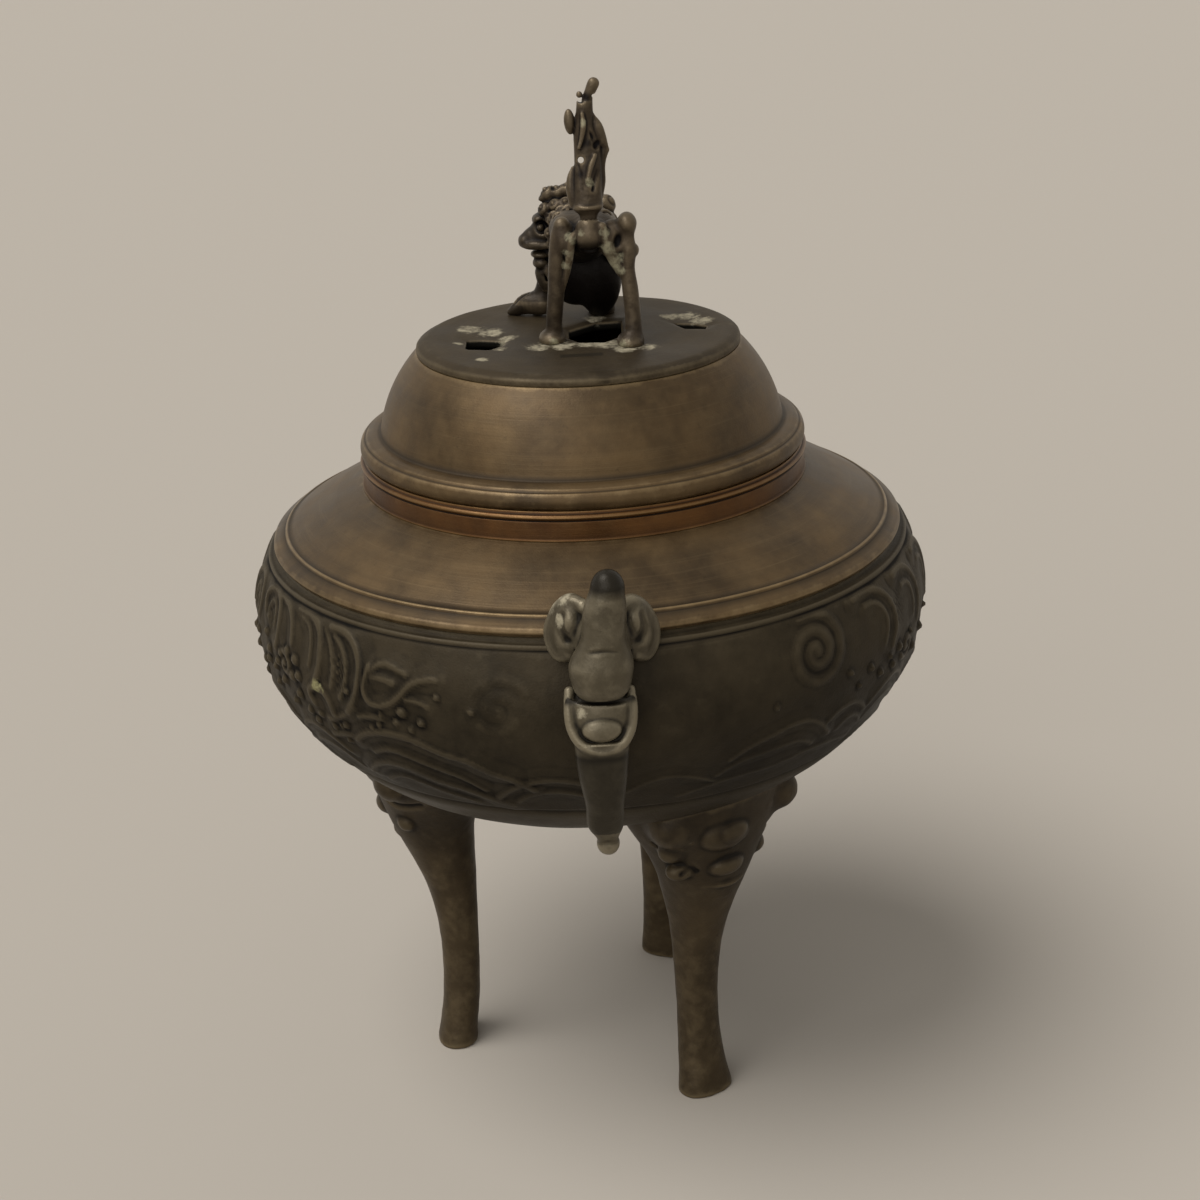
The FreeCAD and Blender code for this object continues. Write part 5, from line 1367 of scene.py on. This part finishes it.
    # Curls of the mane, each with a groove about its eye
    for *place, size in MANE_CURLS:
        clay.ball(place, (size, size, size), 0.5)
    for *place, size in MANE_CURLS:
        outward = np.array(place) - HEAD_CENTRE
        outward /= np.linalg.norm(outward)
        eye = np.array(place) + outward * 0.86 * size
        clay.limb(loop(eye, outward, 0.5 * size, 0.26), 0.12, cut=True)
    # Seat of the tail
    clay.limb([(8.5, 2.45, 150.0, 1.5), (8.5, 2.45, 160.0, 1.5)], 0.1, cut=True)
    obj = clay.skin("lion_cast")
    cast_finish(obj, 51, depth=0.17, grain=0.07, keep=PLATE_TOP)
    mark_spots(obj, "residue", ((8.9, -0.6, 155.4, 1.1), (8.4, -1.0, 152.8, 1.1), (7.8, -1.3, 150.6, 1.0),
                                (9.9, 5.0, 156.4, 1.1), (9.8, 5.4, 153.8, 1.3), (9.2, 6.6, 151.4, 1.6),
                                (8.8, 7.6, 149.6, 1.2), (10.6, 1.2, 156.6, 0.8), (8.2, -4.2, 137.3, 1.2),
                                (12.0, 7.2, 137.3, 1.4)))
    # Dark patina and painted shade on the chest and lower body between the legs; painted shade on the face
    # side and along the underside; darker on the front paw's toe
    x, y, z = points_of(obj).T
    shade = rise(x, 4.5, -1.5) * rise(z, 153.6, -2.0) * rise(y, -3.2, 1.2) * rise(x, -13.5, 3.0)
    toe = rise(y, -8.6, -1.2, 0.7) * (z < 139.2)
    face = 0.62 * rise(y, -4.0, -1.5) * (z > 140)
    under = rise(z, 155.6, -1.6) * np.clip(2.6 - abs(y - 2.3), 0, 1)
    set_mark(obj, "dark_patina_and_shade", np.maximum.reduce([shade, toe, face, under]))
    finish_piece(obj, "lid", "bronze_lion", lion_bronze, "lion_body")


def make_tail():
    clay = Clay((3.0, -3.0, 154.0), (13.0, 8.5, 183.0), cell=0.22)
    flat = ((1, 0, 0), 0.78)
    clay.stack([(154.6, 8.5, 2.45, 1.45, 1.45), (156.5, 8.5, 2.5, 1.45, 1.6), (159.4, 8.4, 2.5, 1.5, 1.75),
        (159.9, 8.3, 2.45, 1.85, 2.3), (161.6, 8.0, 2.45, 1.95, 2.45), (164.0, 7.6, 2.6, 1.9, 2.4),
        (167.0, 7.1, 2.8, 1.75, 2.3), (170.0, 6.7, 2.8, 1.6, 2.2), (173.0, 6.5, 2.5, 1.45, 1.8),
        (175.4, 6.4, 2.6, 1.2, 1.5), (177.6, 6.4, 2.75, 1.05, 1.35)], 0.3)
    clay.limb(loop((8.4, 2.5, 160.6), (0, 0, 1), 2.05, 0.35, 14), 0.5, flat=flat)
    for z in (156.4, 157.9, 159.2):
        clay.limb([(10.1, 0.6, z + 0.1, 0.2), (10.2, 2.5, z - 0.1, 0.22), (10.1, 4.4, z + 0.1, 0.2)], 0.25,
            cut=True)
    clay.limb([(9.7, -0.1, 162.6, 0.25), (10.0, 2.4, 162.4, 0.25), (9.7, 4.8, 162.6, 0.25)], 0.15, cut=True)
    # Lower leaf at the left and the hole beside it
    clay.limb([(7.9, 0.5, 161.2, 1.2), (7.6, -0.05, 163.6, 1.0), (7.3, 0.0, 165.4, 0.75),
        (7.1, 0.3, 166.7, 0.4)], 0.25, flat=flat)
    clay.limb([(8.2, 1.0, 167.6, 0.35), (9.2, 1.35, 165.6, 0.4), (9.6, 1.5, 163.6, 0.3)], 0.2, cut=True)
    clay.limb([(2.5, 1.8, 167.2, 0.5), (11.5, 1.55, 168.8, 0.5)], 0.12, cut=True)
    # Edge and leaf at the right, ending in a nub, and the hollow between
    clay.limb([(7.4, 4.3, 161.8, 0.8), (7.1, 4.9, 164.4, 0.75), (6.8, 5.0, 167.2, 0.75),
        (6.5, 5.7, 169.4, 0.75)], 0.35, flat=flat)
    clay.limb([(6.5, 4.0, 175.2, 0.35), (6.7, 4.6, 173.4, 0.9), (6.7, 5.2, 171.4, 0.9),
        (6.5, 5.95, 169.4, 0.55)], 0.2, flat=flat)
    clay.ball((8.4, 4.5, 170.6), (1.4, 0.8, 1.0), 0.2, (-25, 0, 0), cut=True)
    clay.ball((8.3, 3.7, 171.9), (0.9, 0.4, 1.2), 0.2, (20, 0, 0), cut=True)
    # Upper curl at the left, apart from the stem
    clay.ball((6.6, 0.1, 174.3), (1.0, 0.95, 2.15), 0.15, (3, 0, 0))
    clay.limb([(7.5, 1.15, 176.2, 0.3), (8.0, 1.25, 174.4, 0.4), (7.9, 1.0, 172.6, 0.3)], 0.15, cut=True)
    # Flames on the stem
    clay.limb([(7.7, 2.2, 175.6, 0.35), (8.1, 2.3, 173.8, 0.5), (8.2, 1.9, 171.6, 0.4),
        (8.4, 1.4, 170.2, 0.3)], 0.2)
    clay.limb([(8.2, 3.1, 172.9, 0.35), (8.5, 2.6, 171.0, 0.4), (8.8, 2.0, 169.2, 0.35)], 0.2, cut=True)
    clay.limb([(8.4, 4.0, 168.9, 0.4), (8.9, 3.2, 167.2, 0.5), (9.3, 2.6, 165.0, 0.4)], 0.3)
    clay.limb([(8.7, 4.4, 166.6, 0.35), (9.2, 3.8, 165.0, 0.4), (9.4, 3.4, 163.4, 0.3)], 0.2, cut=True)
    # Neck, a dark band, a nub and the tip that leans to the right
    clay.ball((6.5, 1.9, 178.6), (0.55, 0.55, 0.6), 0.15)
    clay.limb([(6.4, 3.0, 177.4, 0.85), (6.4, 3.5, 178.6, 0.9), (6.4, 4.1, 179.9, 1.0),
        (6.4, 4.3, 180.3, 1.0)], 0.15, flat=((1, 0, 0), 0.9))
    clay.limb(loop((6.4, 3.1, 177.9), (0, -0.35, 1), 1.25, 0.3), 0.12, cut=True)
    obj = clay.skin("tail_cast")
    points = points_of(obj)
    points[:, 2] = np.minimum(points[:, 2], top_of("lion_tail"))
    set_points(obj, points)
    cast_finish(obj, 61, depth=0.15, grain=0.05)
    mark_spots(obj, "residue", ((9.3, 3.0, 164.6, 0.8), (8.3, 2.3, 174.2, 0.7), (8.6, 0.6, 160.9, 0.6)))
    # Painted shade in the neck's groove, the hole by the lower leaf and the hollow by the right leaf
    mark_spots(obj, "dark_patina_and_shade", ((6.9, 3.0, 178.2, 0.75), (8.6, 3.0, 171.0, 0.8), (9.0, 1.4, 166.0, 0.7)))
    finish_piece(obj, "lid", "bronze_lion", lion_bronze, "lion_tail")


belly_distance = outline_distance(belly_solid(), reach=62, low=52, high=106)
vessel_distance = outline_distance(vessel_solid(), reach=62, low=52, high=116)
make_plate()
make_legs()
make_handles()
make_lion()
make_tail()


# Floor, light and camera
FLOOR_RADIUS = 4.0
FLOOR_COLOUR = (0.53, 0.49, 0.435, 1)
AMBIENT = ((1.0, 0.96, 0.90, 1), 0.26)
BACKDROP = ((0.72, 0.68, 0.62, 1), 0.9)
WARM_WHITE = (1.0, 0.97, 0.93)


def make_floor():
    bpy.ops.mesh.primitive_circle_add(vertices=96, radius=FLOOR_RADIUS, fill_type="NGON")
    floor = bpy.context.object
    floor.name = "floor"
    paint = bpy.data.materials.new("floor_paint")
    shader = Nodes(paint).tree.nodes["Principled BSDF"]
    shader.inputs["Base Color"].default_value = FLOOR_COLOUR
    shader.inputs["Roughness"].default_value = 0.85
    floor.data.materials.append(paint)


def make_world():
    """An even, dim light from all sides behind a paler backdrop that is only seen and mirrored."""
    world = bpy.data.worlds.new("studio")
    bpy.context.scene.world = world
    nodes = Nodes(world)
    nodes.tree.nodes.clear()
    rays = nodes.add("ShaderNodeLightPath").outputs
    seen = nodes.math("MAXIMUM", rays["Is Camera Ray"], rays["Is Glossy Ray"])
    seen = nodes.math("MAXIMUM", seen, rays["Is Transmission Ray"])
    mix = nodes.add("ShaderNodeMixShader")
    nodes.link(seen, mix.inputs[0])
    for socket, (colour, strength) in zip(mix.inputs[1:], (AMBIENT, BACKDROP)):
        light = nodes.add("ShaderNodeBackground")
        light.inputs[0].default_value = colour
        light.inputs[1].default_value = strength
        nodes.link(light.outputs[0], socket)
    nodes.link(mix.outputs[0], nodes.add("ShaderNodeOutputWorld").inputs[0])


def make_lamp(name, direction, strength, degrees):
    """A soft lamp that lights the whole floor evenly, as wide as this many degrees."""
    data = bpy.data.lights.new(name, "SUN")
    data.energy = strength
    data.angle = math.radians(degrees)
    data.color = WARM_WHITE
    lamp = bpy.data.objects.new(name, data)
    lamp.location = Vector(direction)
    lamp.rotation_euler = Vector(direction).to_track_quat("Z", "Y").to_euler()
    bpy.context.scene.collection.objects.link(lamp)


def make_camera():
    data = bpy.data.cameras.new("camera")
    data.lens = CAMERA_LENS
    data.sensor_width = CAMERA_SENSOR
    data.sensor_fit = "HORIZONTAL"
    camera = bpy.data.objects.new("camera", data)
    bpy.context.scene.collection.objects.link(camera)
    turn = Matrix.Rotation(CAMERA_TURN, 4, "Z")
    tilt = Matrix.Rotation(math.pi / 2 - CAMERA_PITCH, 4, "X")
    roll = Matrix.Rotation(CAMERA_ROLL, 4, "Z")
    camera.matrix_world = Matrix.Translation(CAMERA_PLACE) @ turn @ tilt @ roll
    bpy.context.scene.camera = camera


make_floor()
make_world()
make_lamp("top_lamp", (0.20, -0.50, 1.0), 1.9, 40.0)
make_lamp("front_lamp", (1.0, -0.45, 0.55), 0.8, 50.0)
make_camera()
bpy.context.scene.view_settings.view_transform = "Standard"
